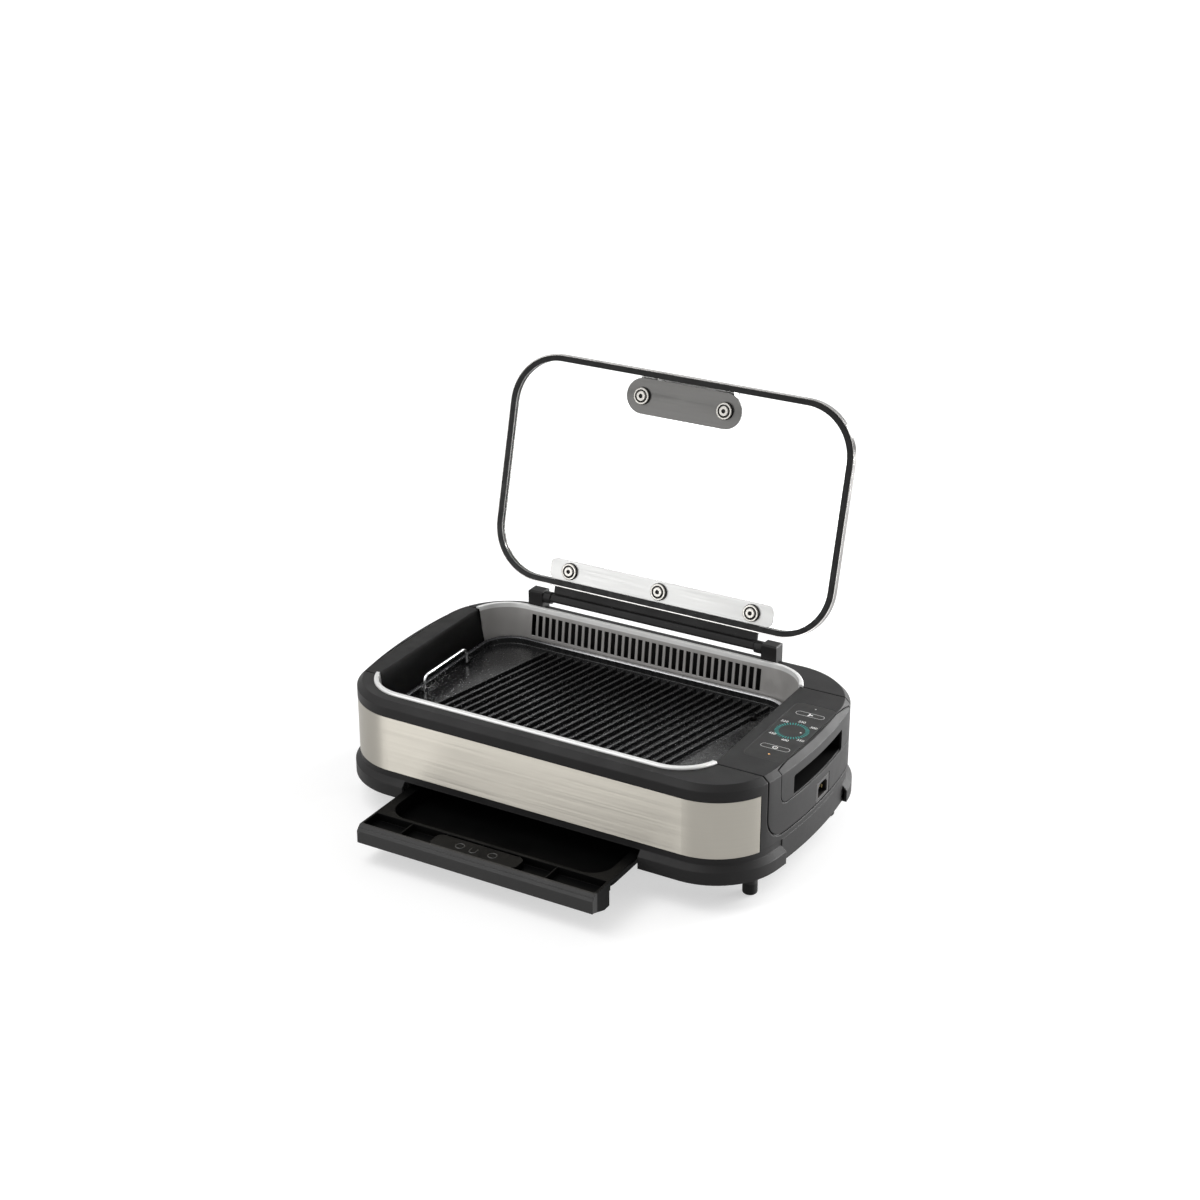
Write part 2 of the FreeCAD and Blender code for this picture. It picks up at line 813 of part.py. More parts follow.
def inlet_profile(grow, x0, x1):
    """The inlet's opening seen from the side: a rectangle with its two upper corners cut off."""
    half = inlet_opening_width / 2 + grow
    low = inlet_z - inlet_opening_height / 2 - grow
    high = inlet_z + inlet_opening_height / 2 + grow
    key = inlet_key
    corners = [(-half, low), (half, low), (half, high - key)]
    corners += [(half - key, high), (key - half, high), (-half, high - key)]
    points = [at(x0, inlet_y + y, z) for y, z in corners]
    return prism(points, at(x1 - x0, 0, 0))


def make_inlet():
    """Inlet socket: a flange flush with the casing and a cup behind it."""
    flange_half = inlet_flange_height / 2
    flange = body_slab(-inlet_flange_set, inlet_z - flange_half, inlet_z + flange_half)
    flange = flange.cut(body_slab(-casing_wall, inlet_z - inlet_flange_height, inlet_z + inlet_flange_height))
    flange = flange.common(box(half_length - cutter_reach, half_length, inlet_y - inlet_flange_width / 2,
                               inlet_y + inlet_flange_width / 2, inlet_z - inlet_flange_height,
                               inlet_z + inlet_flange_height))
    mouth = half_length - casing_wall / 2
    cup = inlet_profile(inlet_wall, mouth - inlet_depth - inlet_wall - over, mouth - over)
    shape = union([flange, cup])
    return shape.cut(inlet_profile(0.0, mouth - inlet_depth, half_length + cutter_reach))


def make_inlet_pins():
    """Three flat contact pins in the inlet."""
    back = half_length - casing_wall / 2 - inlet_depth
    pins = []
    low = -inlet_pin_rise
    for y, z in ((-inlet_pin_spread, low), (0.0, inlet_pin_rise), (inlet_pin_spread, low)):
        pins.append(box(back, back + inlet_pin_length, inlet_y + y - inlet_pin_thickness / 2,
                        inlet_y + y + inlet_pin_thickness / 2, inlet_z + z - inlet_pin_width / 2,
                        inlet_z + z + inlet_pin_width / 2))
    return Part.makeCompound(pins)


def plate_slab(offset, z0, z1):
    """The grill plate's outline, grown by an offset."""
    return rounded_slab((well_centre_x, 0), plate_length + 2 * offset, plate_depth + 2 * offset,
                        plate_corner + offset, z0, z1)


def bail_x(side):
    """Where a bail's axis stands, near one end of the plate."""
    return well_centre_x + side * (plate_length / 2 - bail_inset)


def make_grill_plate():
    """Ribbed plate with a raised rim, a gutter all round, a drain hole and lugs for the bails."""
    plate = plate_slab(0, plate_underside, plate_rim_top)
    plate = plate.cut(plate_slab(-plate_rim_width, plate_floor_top, plate_rim_top + over))
    under = plate_slab(-plate_rim_width - plate_skirt_width, plate_underside - over,
                       plate_floor_top - plate_floor_thickness)
    plate = plate.cut(under)
    lean = math.tan(math.radians(rib_angle)) * rib_field_depth / 2
    pitch = (rib_field_length - 2 * lean) / (rib_count - 1)
    bars = []
    for index in range(rib_count):
        x = well_centre_x + (index - (rib_count - 1) / 2) * pitch
        half = rib_field_depth / 2
        flat = rib_width * rib_flat_share
        wide = rib_width / 2
        low = plate_floor_top - rib_bite
        corners = [(-wide, low), (wide, low), (flat, rib_top), (-flat, rib_top)]
        section = [at(x - lean + across, -half, z) for across, z in corners]
        bars.append(prism(section, at(2 * lean, 2 * half, 0)))
    plate = plate.fuse(bars)
    lugs = []
    for side in (-1, 1):
        for end in (-1, 1):
            y0 = end * (bail_half + bail_wire / 2 + seat_gap)
            y1 = y0 + end * bail_lug_thickness
            x = bail_x(side)
            lugs.append(box(x - bail_lug_half, x + bail_lug_half, min(y0, y1), max(y0, y1),
                            plate_floor_top - rib_bite, bail_axis_z + bail_lug_half))
    plate = plate.fuse(lugs)
    for side in (-1, 1):
        x = bail_x(side)
        reach = bail_half + bail_wire / 2 + seat_gap + bail_lug_thickness + over
        plate = plate.cut(rod(bail_wire / 2 + pin_running_gap, at(x, -reach, bail_axis_z), Y, 2 * reach))
    plate = plate.cut(rod(drain_radius, at(drain_x, drain_y, plate_underside - over), Z, cutter_reach))
    return plate.removeSplitter()


def swept_wire(edges, diameter, start, direction):
    """Round wire of one diameter swept along a path of lines and arcs."""
    path = Part.Wire(edges)
    section = Part.Wire([Part.makeCircle(diameter / 2, start, direction)])
    return path.makePipeShell([section], True, False)


def make_bail(side):
    """Bent wire handle standing on two pivots in the plate's lugs."""
    x = bail_x(side)
    top = bail_axis_z + bail_rise
    bend = bail_bend
    cut = bend * (1 - math.sqrt(0.5))
    half = bail_half
    left_foot = at(x, -half, bail_axis_z)
    first = [at(x, -half, top - bend), at(x, cut - half, top - cut), at(x, bend - half, top)]
    second = [at(x, half - bend, top), at(x, half - cut, top - cut), at(x, half, top - bend)]
    edges = [
        Part.makeLine(left_foot, first[0]),
        Part.Arc(*first).toShape(),
        Part.makeLine(first[-1], second[0]),
        Part.Arc(*second).toShape(),
        Part.makeLine(second[-1], at(x, half, bail_axis_z)),
    ]
    wire = swept_wire(edges, bail_wire, left_foot, Z)
    stub = bail_wire / 2 + seat_gap + bail_lug_thickness
    feet = []
    for end in (-1, 1):
        foot = at(x, end * half, bail_axis_z)
        feet.append(Part.makeSphere(bail_wire / 2, foot))
        feet.append(rod(bail_wire / 2, foot, at(0, end, 0), stub))
    bail = union([wire] + feet)
    if side > 0:
        bail.rotate(at(x, 0, bail_axis_z), Y, right_bail_lean)
    return bail


def make_element():
    """Tubular heating element: parallel runs joined by half turns, both tails at the control end."""
    radius = element_pitch / 2
    left = well_centre_x - element_run_half
    right = well_centre_x + element_run_half
    tail = module_inner_x - end_face_slope - ledge_width + 2 * over
    first = -(element_runs - 1) / 2 * element_pitch
    last = -first
    edges = []
    for index in range(element_runs):
        y = first + index * element_pitch
        start_x = tail if index == 0 else (right if index % 2 == 0 else left)
        end_x = left if index % 2 == 0 else (tail if index == element_runs - 1 else right)
        edges.append(Part.makeLine(at(start_x, y, element_z), at(end_x, y, element_z)))
        if index < element_runs - 1:
            bulge = -radius if index % 2 == 0 else radius
            edges.append(Part.Arc(at(end_x, y, element_z), at(end_x + bulge, y + radius, element_z),
                                  at(end_x, y + element_pitch, element_z)).toShape())
    return swept_wire(edges, element_diameter, at(tail, first, element_z), X)


def shield_post(x, y, carried):
    """A square post on the tray, up to just under a carried rod of a given diameter."""
    half = clip_width / 2
    return box(x - half, x + half, y - half, y + half, shield_z + shield_sheet / 2,
               element_z - carried / 2 - clip_gap)


def make_shield():
    """Bright tray under the element, with a drip window, posts for the element and a notch over the fan."""
    length = plate_length - 2 * shield_inset
    depth = plate_depth - 2 * shield_inset
    rim = ledge_height - seat_gap
    tray = rounded_slab((well_centre_x, 0), length, depth, plate_corner, shield_z, rim)
    tray = tray.cut(rounded_slab((well_centre_x, 0), length - 2 * shield_sheet, depth - 2 * shield_sheet,
                                 plate_corner - shield_sheet, shield_z + shield_sheet, rim + over))
    window = rounded_slab((drawer_centre_x, drip_window_y), shield_window_length, shield_window_depth,
                          shield_window_corner, shield_z - over, shield_z + shield_sheet + over)
    tray = tray.cut(window)
    fan_room_y = fan_y - intake_radius - fan_cut_margin
    tray = tray.cut(box(fan_x - fan_case / 2, fan_x + fan_case / 2, fan_room_y, well_depth,
                        shield_z - over, rim + over))
    outer_run = (element_runs - 1) / 2 * element_pitch
    posts = [shield_post(probe_start_x + probe_length / 2, probe_y, probe_diameter)]
    for x in (-1, 1):
        for y in (-1, 1):
            post_x = well_centre_x + x * (element_run_half - clip_width)
            posts.append(shield_post(post_x, y * outer_run, element_diameter))
    return union([tray] + posts)


def make_probe():
    """Thermostat probe lying between the last two runs of the element, close under the plate."""
    return rod(probe_diameter / 2, at(probe_start_x, probe_y, element_z), X, probe_length)


def make_fan_case():
    """Square fan case on the floor, with an intake above and a spider for the motor below."""
    half = fan_case / 2
    low = floor_top
    high = floor_top + fan_case_height
    case = rounded_slab((fan_x, fan_y), fan_case, fan_case, fan_case_corner, low, high)
    inner = fan_case - 2 * fan_case_wall
    room = rounded_slab((fan_x, fan_y), inner, inner, fan_case_corner - fan_case_wall / 2,
                        low + fan_case_wall, high - fan_case_wall)
    case = case.cut(room)
    through = fan_case_wall + 2 * over
    case = case.cut(rod(intake_radius, at(fan_x, fan_y, high - fan_case_wall - over), Z, through))
    outlet = rod(intake_radius, at(fan_x, fan_y, low - over), Z, fan_case_wall + 2 * over)
    spider = rod(motor_radius + spider_margin, at(fan_x, fan_y, low - over), Z, fan_case_wall + 2 * over)
    for arm in (0, 1):
        size = (half, spider_arm) if arm == 0 else (spider_arm, half)
        spider = spider.fuse(box(fan_x - size[0], fan_x + size[0], fan_y - size[1], fan_y + size[1],
                                 low - over, low + fan_case_wall + over))
    return case.cut(outlet.cut(spider))


def make_motor():
    """Small motor on the spider, with the shaft that carries the impeller."""
    base = floor_top + fan_case_wall
    body = rod(motor_radius, at(fan_x, fan_y, base), Z, motor_height)
    shaft = rod(shaft_radius, at(fan_x, fan_y, base), Z, fan_case_height - 2 * fan_case_wall - shaft_end_gap)
    return body.fuse(shaft).removeSplitter()


def make_impeller():
    """Fan wheel: a cup over the motor with leaning blades round it."""
    base = floor_top + fan_case_wall + impeller_rise
    hub = rod(impeller_hub_radius, at(fan_x, fan_y, base), Z, impeller_height)
    blades = []
    for index in range(impeller_blades):
        angle = 360.0 * index / impeller_blades
        blade = box(impeller_hub_radius - blade_bite, impeller_radius - blade_bite,
                    -blade_thickness / 2, blade_thickness / 2,
                    base, base + impeller_height)
        blade.rotate(at(impeller_hub_radius, 0, 0), Z, blade_lean)
        blade.rotate(at(0, 0, 0), Z, angle)
        blade.translate(at(fan_x, fan_y, 0))
        blades.append(blade)
    wheel = hub.fuse(blades)
    cup = rod(motor_radius + motor_gap, at(fan_x, fan_y, base - over), Z, motor_height + over)
    bore = rod(shaft_radius + pin_running_gap, at(fan_x, fan_y, base - over), Z, impeller_height + 2 * over)
    return wheel.cut(cup).cut(bore).removeSplitter()


def make_rails():
    """Two channels under the floor that the drawer's side flanges run in."""
    low = drawer_top - drawer_flange_thickness - rail_gap - rail_web
    rails = []
    for side, edge in ((-1, drawer_left), (1, drawer_right)):
        web0 = edge + side * rail_gap
        web1 = web0 + side * rail_web
        lip = edge - side * rail_lip
        web = box(min(web0, web1), max(web0, web1), web_start_y, rail_end_y, low, floor_bottom)
        lower = box(min(lip, web1), max(lip, web1), rail_start_y, rail_end_y, low, low + rail_web)
        upper = box(min(lip, web1), max(lip, web1), rail_start_y, rail_end_y, drawer_top + rail_gap,
                    drawer_top + rail_gap + rail_web)
        rails.append(union([web, lower, upper]))
    return Part.makeCompound(rails)


def make_drawer():
    """Drip drawer: deep pan, stiff front with a chamfer, a ribbed tray behind it and two end cheeks."""
    front = drawer_front_y
    chamfer = drawer_front_chamfer
    thick = drawer_front_thickness
    top = drawer_top
    flange_low = top - drawer_flange_thickness
    profile = [at(drawer_left, front, drawer_front_bottom), at(drawer_left, front, top - chamfer),
               at(drawer_left, front + chamfer, top), at(drawer_left, front + chamfer + thick, top),
               at(drawer_left, front + thick, top - chamfer),
               at(drawer_left, front + thick, drawer_front_bottom)]
    bar = prism(profile, at(drawer_width, 0, 0))
    rim = box(drawer_left, drawer_right, front + chamfer, drawer_rear_y, flange_low, top)
    pan_front = front + front_tray_depth
    pan_centre = (drawer_centre_x, (pan_front + drawer_rear_y) / 2)
    pan_width = drawer_width - 2 * drawer_flange
    pan_depth = drawer_rear_y - pan_front
    pan = rounded_slab(pan_centre, pan_width, pan_depth, pan_corner, pan_floor, flange_low + bite)
    tray_inside = box(drawer_left + cheek_thickness, drawer_right - cheek_thickness, front + chamfer + thick,
                      pan_front - drawer_wall, front_tray_floor, top + over)
    tray_block = box(drawer_left, drawer_right, front + thick - bite, pan_front,
                     front_tray_floor - drawer_wall, flange_low + bite)
    cheeks = []
    for x in (drawer_left, drawer_right - cheek_thickness):
        corners = [(thick - bite, top - chamfer), (thick - bite, drawer_front_bottom),
                   (thick + cheek_slope, cheek_bottom), (cheek_depth, cheek_bottom),
                   (cheek_depth, top - chamfer)]
        outline = [at(x, front + y, z) for y, z in corners]
        cheeks.append(prism(outline, at(cheek_thickness, 0, 0)))
    drawer = union([bar, rim, pan, tray_block] + cheeks)
    drawer = drawer.cut(rounded_slab(pan_centre, pan_width - 2 * drawer_wall, pan_depth - 2 * drawer_wall,
                                     pan_corner - drawer_wall, pan_floor + drawer_wall, top + over))
    drawer = drawer.cut(tray_inside)
    extras = []
    for index in range(front_rib_count):
        x = drawer_centre_x + front_rib_shift + (index - (front_rib_count - 1) / 2) * front_rib_pitch
        extras.append(box(x - front_rib_half, x + front_rib_half, front + chamfer + thick - bite,
                          pan_front - drawer_wall + bite, front_tray_floor - bite, top - front_rib_drop))
    middle_y = front + chamfer + thick + finger_plate_depth / 2
    extras.append(rounded_slab((drawer_centre_x + front_rib_shift, middle_y), finger_plate_length,
                               finger_plate_depth, finger_plate_corner, front_tray_floor - bite,
                               top - finger_plate_drop))
    return union([drawer] + extras)


def make_hinge_blocks():
    """Two square hinge blocks on the back of the frame, each with a blind bore for its pin."""
    front_y = well_depth / 2 + seam
    rear_y = hinge_y + hinge_block_behind
    flat_end = half_depth - top_chamfer
    high = hinge_z + hinge_block_above
    blocks = []
    for side in (-1, 1):
        x0 = hinge_centre_x + side * hinge_block_inner
        x1 = x0 + side * hinge_block_width
        low_x = min(x0, x1)
        outline = [at(low_x, front_y, body_top), at(low_x, flat_end, body_top),
                   at(low_x, rear_y, body_top - (rear_y - flat_end)), at(low_x, rear_y, high),
                   at(low_x, front_y, high)]
        block = prism(outline, at(hinge_block_width, 0, 0))
        crown = [edge for edge in block.Edges if edge.BoundBox.ZMin > high - hair]
        block = block.makeFillet(hinge_block_round, crown)
        blocks.append(block.cut(hinge_pin(side, over)))
    return Part.makeCompound(blocks)


def hinge_pin(side, past):
    """One pin, from inside the bar to just short of its block's outer face, longer inside by some length."""
    inner = hinge_centre_x + side * (hinge_block_inner - hinge_pin_bite - past)
    outer = hinge_centre_x + side * (hinge_block_inner + hinge_block_width - hinge_pin_cover)
    return rod(hinge_pin_radius, at(min(inner, outer), hinge_y, hinge_z), X, abs(outer - inner))


def make_hinge_pins():
    """Two pins held in the hinge blocks, reaching into the hinge bar."""
    return Part.makeCompound([hinge_pin(side, 0.0) for side in (-1, 1)])


def lid_screw_places():
    """Screw centres in the shut lid, hinge screws first, each with the underside of what it clamps."""
    places = []
    hinge_row = lid_rear_y - hinge_plate_from_edge - hinge_plate_depth / 2
    under_plate = rim_middle_z - glass_thickness / 2 - hinge_plate_thickness
    for x in (-hinge_screw_spread, 0.0, hinge_screw_spread):
        places.append((fittings_x + x, hinge_row, under_plate))
    under_handle = rim_middle_z - glass_thickness / 2 - handle_plate_thickness
    for x in (-handle_screw_spread, handle_screw_spread):
        places.append((fittings_x + x, lid_rear_y - handle_from_rear, under_handle))
    return places


def drill_lid(shape, grow):
    """The lid screws' holes cut through a piece."""
    for x, y, z in lid_screw_places():
        start = at(x, y, rim_middle_z - cutter_reach)
        shape = shape.cut(rod(screw_radius + grow, start, Z, 4 * cutter_reach))
    return shape


def make_glass():
    """Flat lid glass with screw holes."""
    low = rim_middle_z - glass_thickness / 2
    return drill_lid(lid_slab(-rim_sheet - seat_gap, low, low + glass_thickness), glass_hole_gap)


def make_rim():
    """Steel channel round the glass, with rounded outer edges."""
    low = rim_middle_z - rim_height / 2
    rim = lid_slab(0, low, low + rim_height)
    crown = [edge for edge in rim.Edges if edge.BoundBox.ZMin > low + rim_height - hair]
    rim = rim.makeFillet(rim_edge_round, crown)
    rim = rim.cut(lid_slab(-rim_width, low - over, low + rim_height + over))
    groove = rim_middle_z - glass_thickness / 2 - glass_groove_gap
    return rim.cut(lid_slab(-rim_sheet, groove, groove + glass_thickness + 2 * glass_groove_gap))


def make_gasket():
    """Black seal under the rim."""
    high = rim_middle_z - rim_height / 2
    seal = lid_slab(-gasket_inset, high - gasket_thickness, high)
    return seal.cut(lid_slab(-gasket_width - gasket_inset, high - gasket_thickness - over, high + over))


def make_hinge_plate():
    """Pale clamp plate inside the glass along the hinge."""
    high = rim_middle_z - glass_thickness / 2
    y = lid_rear_y - hinge_plate_from_edge - hinge_plate_depth / 2
    plate = rounded_slab((fittings_x, y), hinge_plate_length, hinge_plate_depth, hinge_plate_corner,
                         high - hinge_plate_thickness, high)
    return drill_lid(plate, seat_gap)


def make_hinge_bar():
    """Bar that turns on the pins, with a flange over the glass and bosses for the hinge screws."""
    thick = hinge_bar_half_thickness
    middle = hinge_centre_x
    bar = box(middle - hinge_bar_half, middle + hinge_bar_half, hinge_y - hinge_bar_above,
              hinge_y + hinge_bar_below, hinge_z - thick, hinge_z + thick)
    long_edges = [edge for edge in bar.Edges if edge.Length > hinge_bar_half]
    bar = bar.makeFillet(hinge_bar_round, long_edges)
    knuckle_half = hinge_block_inner - seat_gap
    for start_x in (middle - knuckle_half, middle + knuckle_half - knuckle_length):
        bar = bar.fuse(rod(hinge_knuckle_radius, at(start_x, hinge_y, hinge_z), X, knuckle_length))
    bar = bar.fuse(rod(hinge_sleeve_radius, at(middle - knuckle_half, hinge_y, hinge_z), X, 2 * knuckle_half))
    flange_low = rim_middle_z + rim_height / 2 + flange_gap
    flange = box(middle - hinge_bar_half, middle + hinge_bar_half, hinge_y - flange_reach,
                 hinge_y, flange_low, flange_low + flange_thickness)
    glass_top = rim_middle_z + glass_thickness / 2
    pieces = [bar, flange]
    for x, y, z in lid_screw_places()[:3]:
        pieces.append(rod(screw_boss_radius, at(x, y, glass_top), Z, flange_low - glass_top + over))
    bar = union(pieces)
    for side in (-1, 1):
        inner = middle + side * (hinge_block_inner - hinge_pin_bite - over)
        outer = middle + side * (hinge_block_inner + over)
        bar = bar.cut(rod(hinge_pin_radius + pin_running_gap, at(min(inner, outer), hinge_y, hinge_z), X,
                          abs(outer - inner)))
    return drill_lid(bar, hole_gap)


def make_handle_plate():
    """Long round-ended plate inside the glass that the handle's screws pull on."""
    high = rim_middle_z - glass_thickness / 2
    centre = (fittings_x, lid_rear_y - handle_from_rear)
    plate = rounded_slab(centre, handle_plate_length, handle_plate_width,
                         handle_plate_width / 2 - hair, high - handle_plate_thickness, high)
    return drill_lid(plate, seat_gap)


def make_grip():
    """Arched handle on the outside of the glass: two posts and a bar, well rounded."""
    y = lid_rear_y - handle_from_rear - grip_ahead
    low = rim_middle_z + glass_thickness / 2
    high = low + grip_height
    half = grip_length / 2
    outer = Part.Face(grip_outline(half, low, high, grip_outer_bend, y)).extrude(at(0, grip_width, 0))
    gap = Part.Face(grip_outline(half - grip_post, low - over, high - grip_thickness, grip_inner_bend,
                                 y - over))
    arch = outer.cut(gap.extrude(at(0, grip_width + 2 * over, 0)))
    boxes = [(edge, edge.BoundBox) for edge in arch.Edges]
    edges = [edge for edge, size in boxes if size.ZMax > high - hair and size.YLength < hair]
    arch = arch.makeFillet(grip_round, edges)
    for x, py, z in lid_screw_places()[3:]:
        arch = arch.cut(rod(screw_radius + hole_gap, at(x, py, low - over), Z, grip_hole_depth + over))
    return arch


def grip_outline(half, low, high, corner, y):
    """An upright rectangle with its two upper corners rounded."""
    x = fittings_x
    bend = corner * (1 - math.sqrt(0.5))
    front = y - grip_width / 2
    return Part.Wire([
        Part.makeLine(at(x - half, front, low), at(x - half, front, high - corner)),
        Part.Arc(at(x - half, front, high - corner), at(x - half + bend, front, high - bend),
                 at(x - half + corner, front, high)).toShape(),
        Part.makeLine(at(x - half + corner, front, high), at(x + half - corner, front, high)),
        Part.Arc(at(x + half - corner, front, high), at(x + half - bend, front, high - bend),
                 at(x + half, front, high - corner)).toShape(),
        Part.makeLine(at(x + half, front, high - corner), at(x + half, front, low)),
        Part.makeLine(at(x + half, front, low), at(x - half, front, low)),
    ])


def make_washers():
    """Soft washers under the lid screws."""
    rings = []
    for x, y, z in lid_screw_places():
        ring = rod(washer_radius, at(x, y, z - washer_thickness), Z, washer_thickness)
        rings.append(ring.cut(rod(screw_radius + seat_gap, at(x, y, z - cutter_reach), Z, 2 * cutter_reach)))
    return Part.makeCompound(rings)


def make_lid_screws():
    """Lid screws: a cup collar, a domed head in it with a socket, and a shank up to the bar or grip."""
    screws = []
    for x, y, z in lid_screw_places():
        face = z - washer_thickness
        collar = rod(collar_radius, at(x, y, face - collar_thickness), Z, collar_thickness)
        edge = [edge for edge in collar.Edges if edge.BoundBox.ZMax < face - collar_thickness + hair]
        collar = collar.makeFillet(collar_round, edge)
        cup_depth = collar_thickness - collar_base
        collar = collar.cut(rod(collar_bore, at(x, y, face - collar_thickness - over), Z, cup_depth + over))
        head_low = face - head_height
        head = rod(head_radius, at(x, y, head_low), Z, head_height)
        dome = [edge for edge in head.Edges if edge.BoundBox.ZMax < head_low + hair]
        head = head.makeFillet(head_round, dome)
        shank = rod(screw_radius, at(x, y, face), Z, screw_length)
        screw = union([collar, head, shank])
        socket = rod(socket_radius, at(x, y, head_low - over), Z, over + socket_depth)
        screws.append(screw.cut(socket))
    return Part.makeCompound(screws)


def make_base_screws():
    """Screws under the floor, beside the feet and the fan."""
    places = []
    for x, y in foot_places():
        places.append((x - side_of(x) * screw_from_foot, y))
    for side in (-1, 1):
        places.append((fan_x + side * (fan_case / 2 + screw_from_fan), fan_y))
    screws = []
    for x, y in places:
        start = at(x, y, floor_bottom - small_screw_height)
        screws.append(rod(small_screw_radius, start, Z, small_screw_height))
    return Part.makeCompound(screws)


base_pieces = {
    "upper_housing": make_housing(),
    "steel_band": make_steel_band(),
    "lower_skirt": make_skirt(),
    "base_floor": make_floor(),
    "rubber_feet": make_feet(),
    "base_screws": make_base_screws(),
    "drawer_rails": make_rails(),
    "well_liner": make_liner(),
    "heat_shield": make_shield(),
    "heating_element": make_element(),
    "thermostat_probe": make_probe(),
    "fan_case": make_fan_case(),
    "fan_motor": make_motor(),
    "control_module": make_module(),
    "module_grip": carry_grip(1.0),
    "module_hand_cup": make_hand_cup(1.0),
    "touch_panel": make_touch_panel(),
    "control_board": make_board(),
    "mains_inlet": make_inlet(),
    "inlet_pins": make_inlet_pins(),
    "left_end_insert": end_piece(insert_inner_x),
    "insert_grip": carry_grip(-1.0),
    "insert_hand_cup": make_hand_cup(-1.0),
    "hinge_blocks": make_hinge_blocks(),
    "hinge_pins": make_hinge_pins(),
}

moving_pieces = {
    "fan_impeller": make_impeller(),
    "drip_drawer": make_drawer(),
    "grill_plate": make_grill_plate(),
    "left_bail": make_bail(-1),
    "right_bail": make_bail(1),
}

lid_pieces = {
    "hinge_bar": make_hinge_bar(),
    "lid_glass": make_glass(),
    "lid_rim": make_rim(),
    "lid_gasket": make_gasket(),
    "hinge_plate": make_hinge_plate(),
    "handle_plate": make_handle_plate(),
    "handle_grip": make_grip(),
    "lid_washers": make_washers(),
    "lid_screws": make_lid_screws(),
}
for piece in lid_pieces.values():
    piece.rotate(at(0, hinge_y, hinge_z), X, -lid_open_angle)

# The origin goes under the middle of the whole object, at the level of the counter
all_pieces = {**base_pieces, **moving_pieces, **lid_pieces}
reach = Part.makeCompound(list(all_pieces.values())).optimalBoundingBox(False, False)
to_origin = at(-reach.Center.x, -reach.Center.y, -reach.ZMin)

os.makedirs("parts", exist_ok=True)
for name, shape in all_pieces.items():
    shape.translate(to_origin)
    shape.exportStep("parts/" + name + ".step")
    state = "valid" if shape.isValid() else "NOT VALID"
    print(name, len(shape.Solids), "solids,", round(shape.Volume), "mm3,", state)
print("moved to the origin by", round(to_origin.x, 4), round(to_origin.y, 4), round(to_origin.z, 4))
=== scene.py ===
# %% [markdown]
# # An indoor grill with a hinged glass lid
#
# The solids of the grill come in as a fixed frame: every object already stands where it belongs, in metres,
# with +X to the control end, -Y to the front and +Z up. This lesson dresses that frame. It gives each solid a
# finish of its own and adds the small printed and turned details that a solid model leaves out.

# %% Load the frame
import bpy
import numpy as np
from mathutils import Matrix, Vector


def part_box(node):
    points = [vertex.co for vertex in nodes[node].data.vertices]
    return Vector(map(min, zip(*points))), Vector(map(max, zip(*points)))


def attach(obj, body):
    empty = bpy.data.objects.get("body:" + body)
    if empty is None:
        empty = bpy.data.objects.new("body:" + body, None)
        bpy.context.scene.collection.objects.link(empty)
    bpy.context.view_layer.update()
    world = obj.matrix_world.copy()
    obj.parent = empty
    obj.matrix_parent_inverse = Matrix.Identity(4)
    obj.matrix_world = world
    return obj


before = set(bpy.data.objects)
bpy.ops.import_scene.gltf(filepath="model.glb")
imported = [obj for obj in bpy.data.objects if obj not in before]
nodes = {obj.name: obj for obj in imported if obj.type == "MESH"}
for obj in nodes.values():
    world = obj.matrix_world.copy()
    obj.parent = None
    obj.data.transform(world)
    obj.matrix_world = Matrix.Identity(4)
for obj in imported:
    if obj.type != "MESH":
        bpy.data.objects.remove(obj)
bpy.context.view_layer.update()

print("solids in the frame:", len(nodes))

mm = 0.001
housing_low, housing_high = (np.array(corner, float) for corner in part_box("upper_housing"))
body_middle = np.array((0.0, (housing_low[1] + housing_high[1]) / 2, 0.0))
drawing = body_middle[:2] / mm
print("middle of the body, metres:", np.round(body_middle, 5))

# %% [markdown]
# ## The camera
#
# The picture was taken from the front right, a little above the lid's hinge. A camera could be placed by eye,
# but an eye can't tell a near wide lens from a far long one. Here the direction, distance and focal length come
# from fitting the body's straight edges and corners to the picture, so the perspective is the picture's own.

# %% Camera from the fitted view
picture_px = 1200
focal_px = 2259.17
turn, tilt, roll = np.radians((30.14, 24.02, -0.14))
stand_off = 2.6657
aside, above = -0.00400, 0.23545

back = np.array((np.sin(turn) * np.cos(tilt), -np.cos(turn) * np.cos(tilt), np.sin(tilt)))
level_right = np.array((np.cos(turn), np.sin(turn), 0.0))
level_up = np.cross(back, level_right)
right = np.cos(roll) * level_right + np.sin(roll) * level_up
up = np.cos(roll) * level_up - np.sin(roll) * level_right
eye = body_middle + back * stand_off + right * aside + up * above

camera_data = bpy.data.cameras.new("picture_camera")
camera_data.sensor_width = 36.0
camera_data.lens = focal_px / picture_px * camera_data.sensor_width
camera = bpy.data.objects.new("picture_camera", camera_data)
stance = np.eye(4)
stance[:3, 0], stance[:3, 1], stance[:3, 2], stance[:3, 3] = right, up, back, eye
camera.matrix_world = Matrix(stance.tolist())
bpy.context.collection.objects.link(camera)
bpy.context.scene.camera = camera
print("lens", round(camera_data.lens, 2), "mm, eye at", np.round(eye, 3))

# %% [markdown]
# ## Node helpers
#
# Every finish below is the same recipe with other numbers: a Principled shader, one or two noise textures read
# in Object coordinates, and a bump. Writing the recipe once keeps each finish down to the few lines that make it
# different. Object coordinates are in metres here, so a scale of 1000 means features about a millimetre wide.

# %% Helpers for node materials


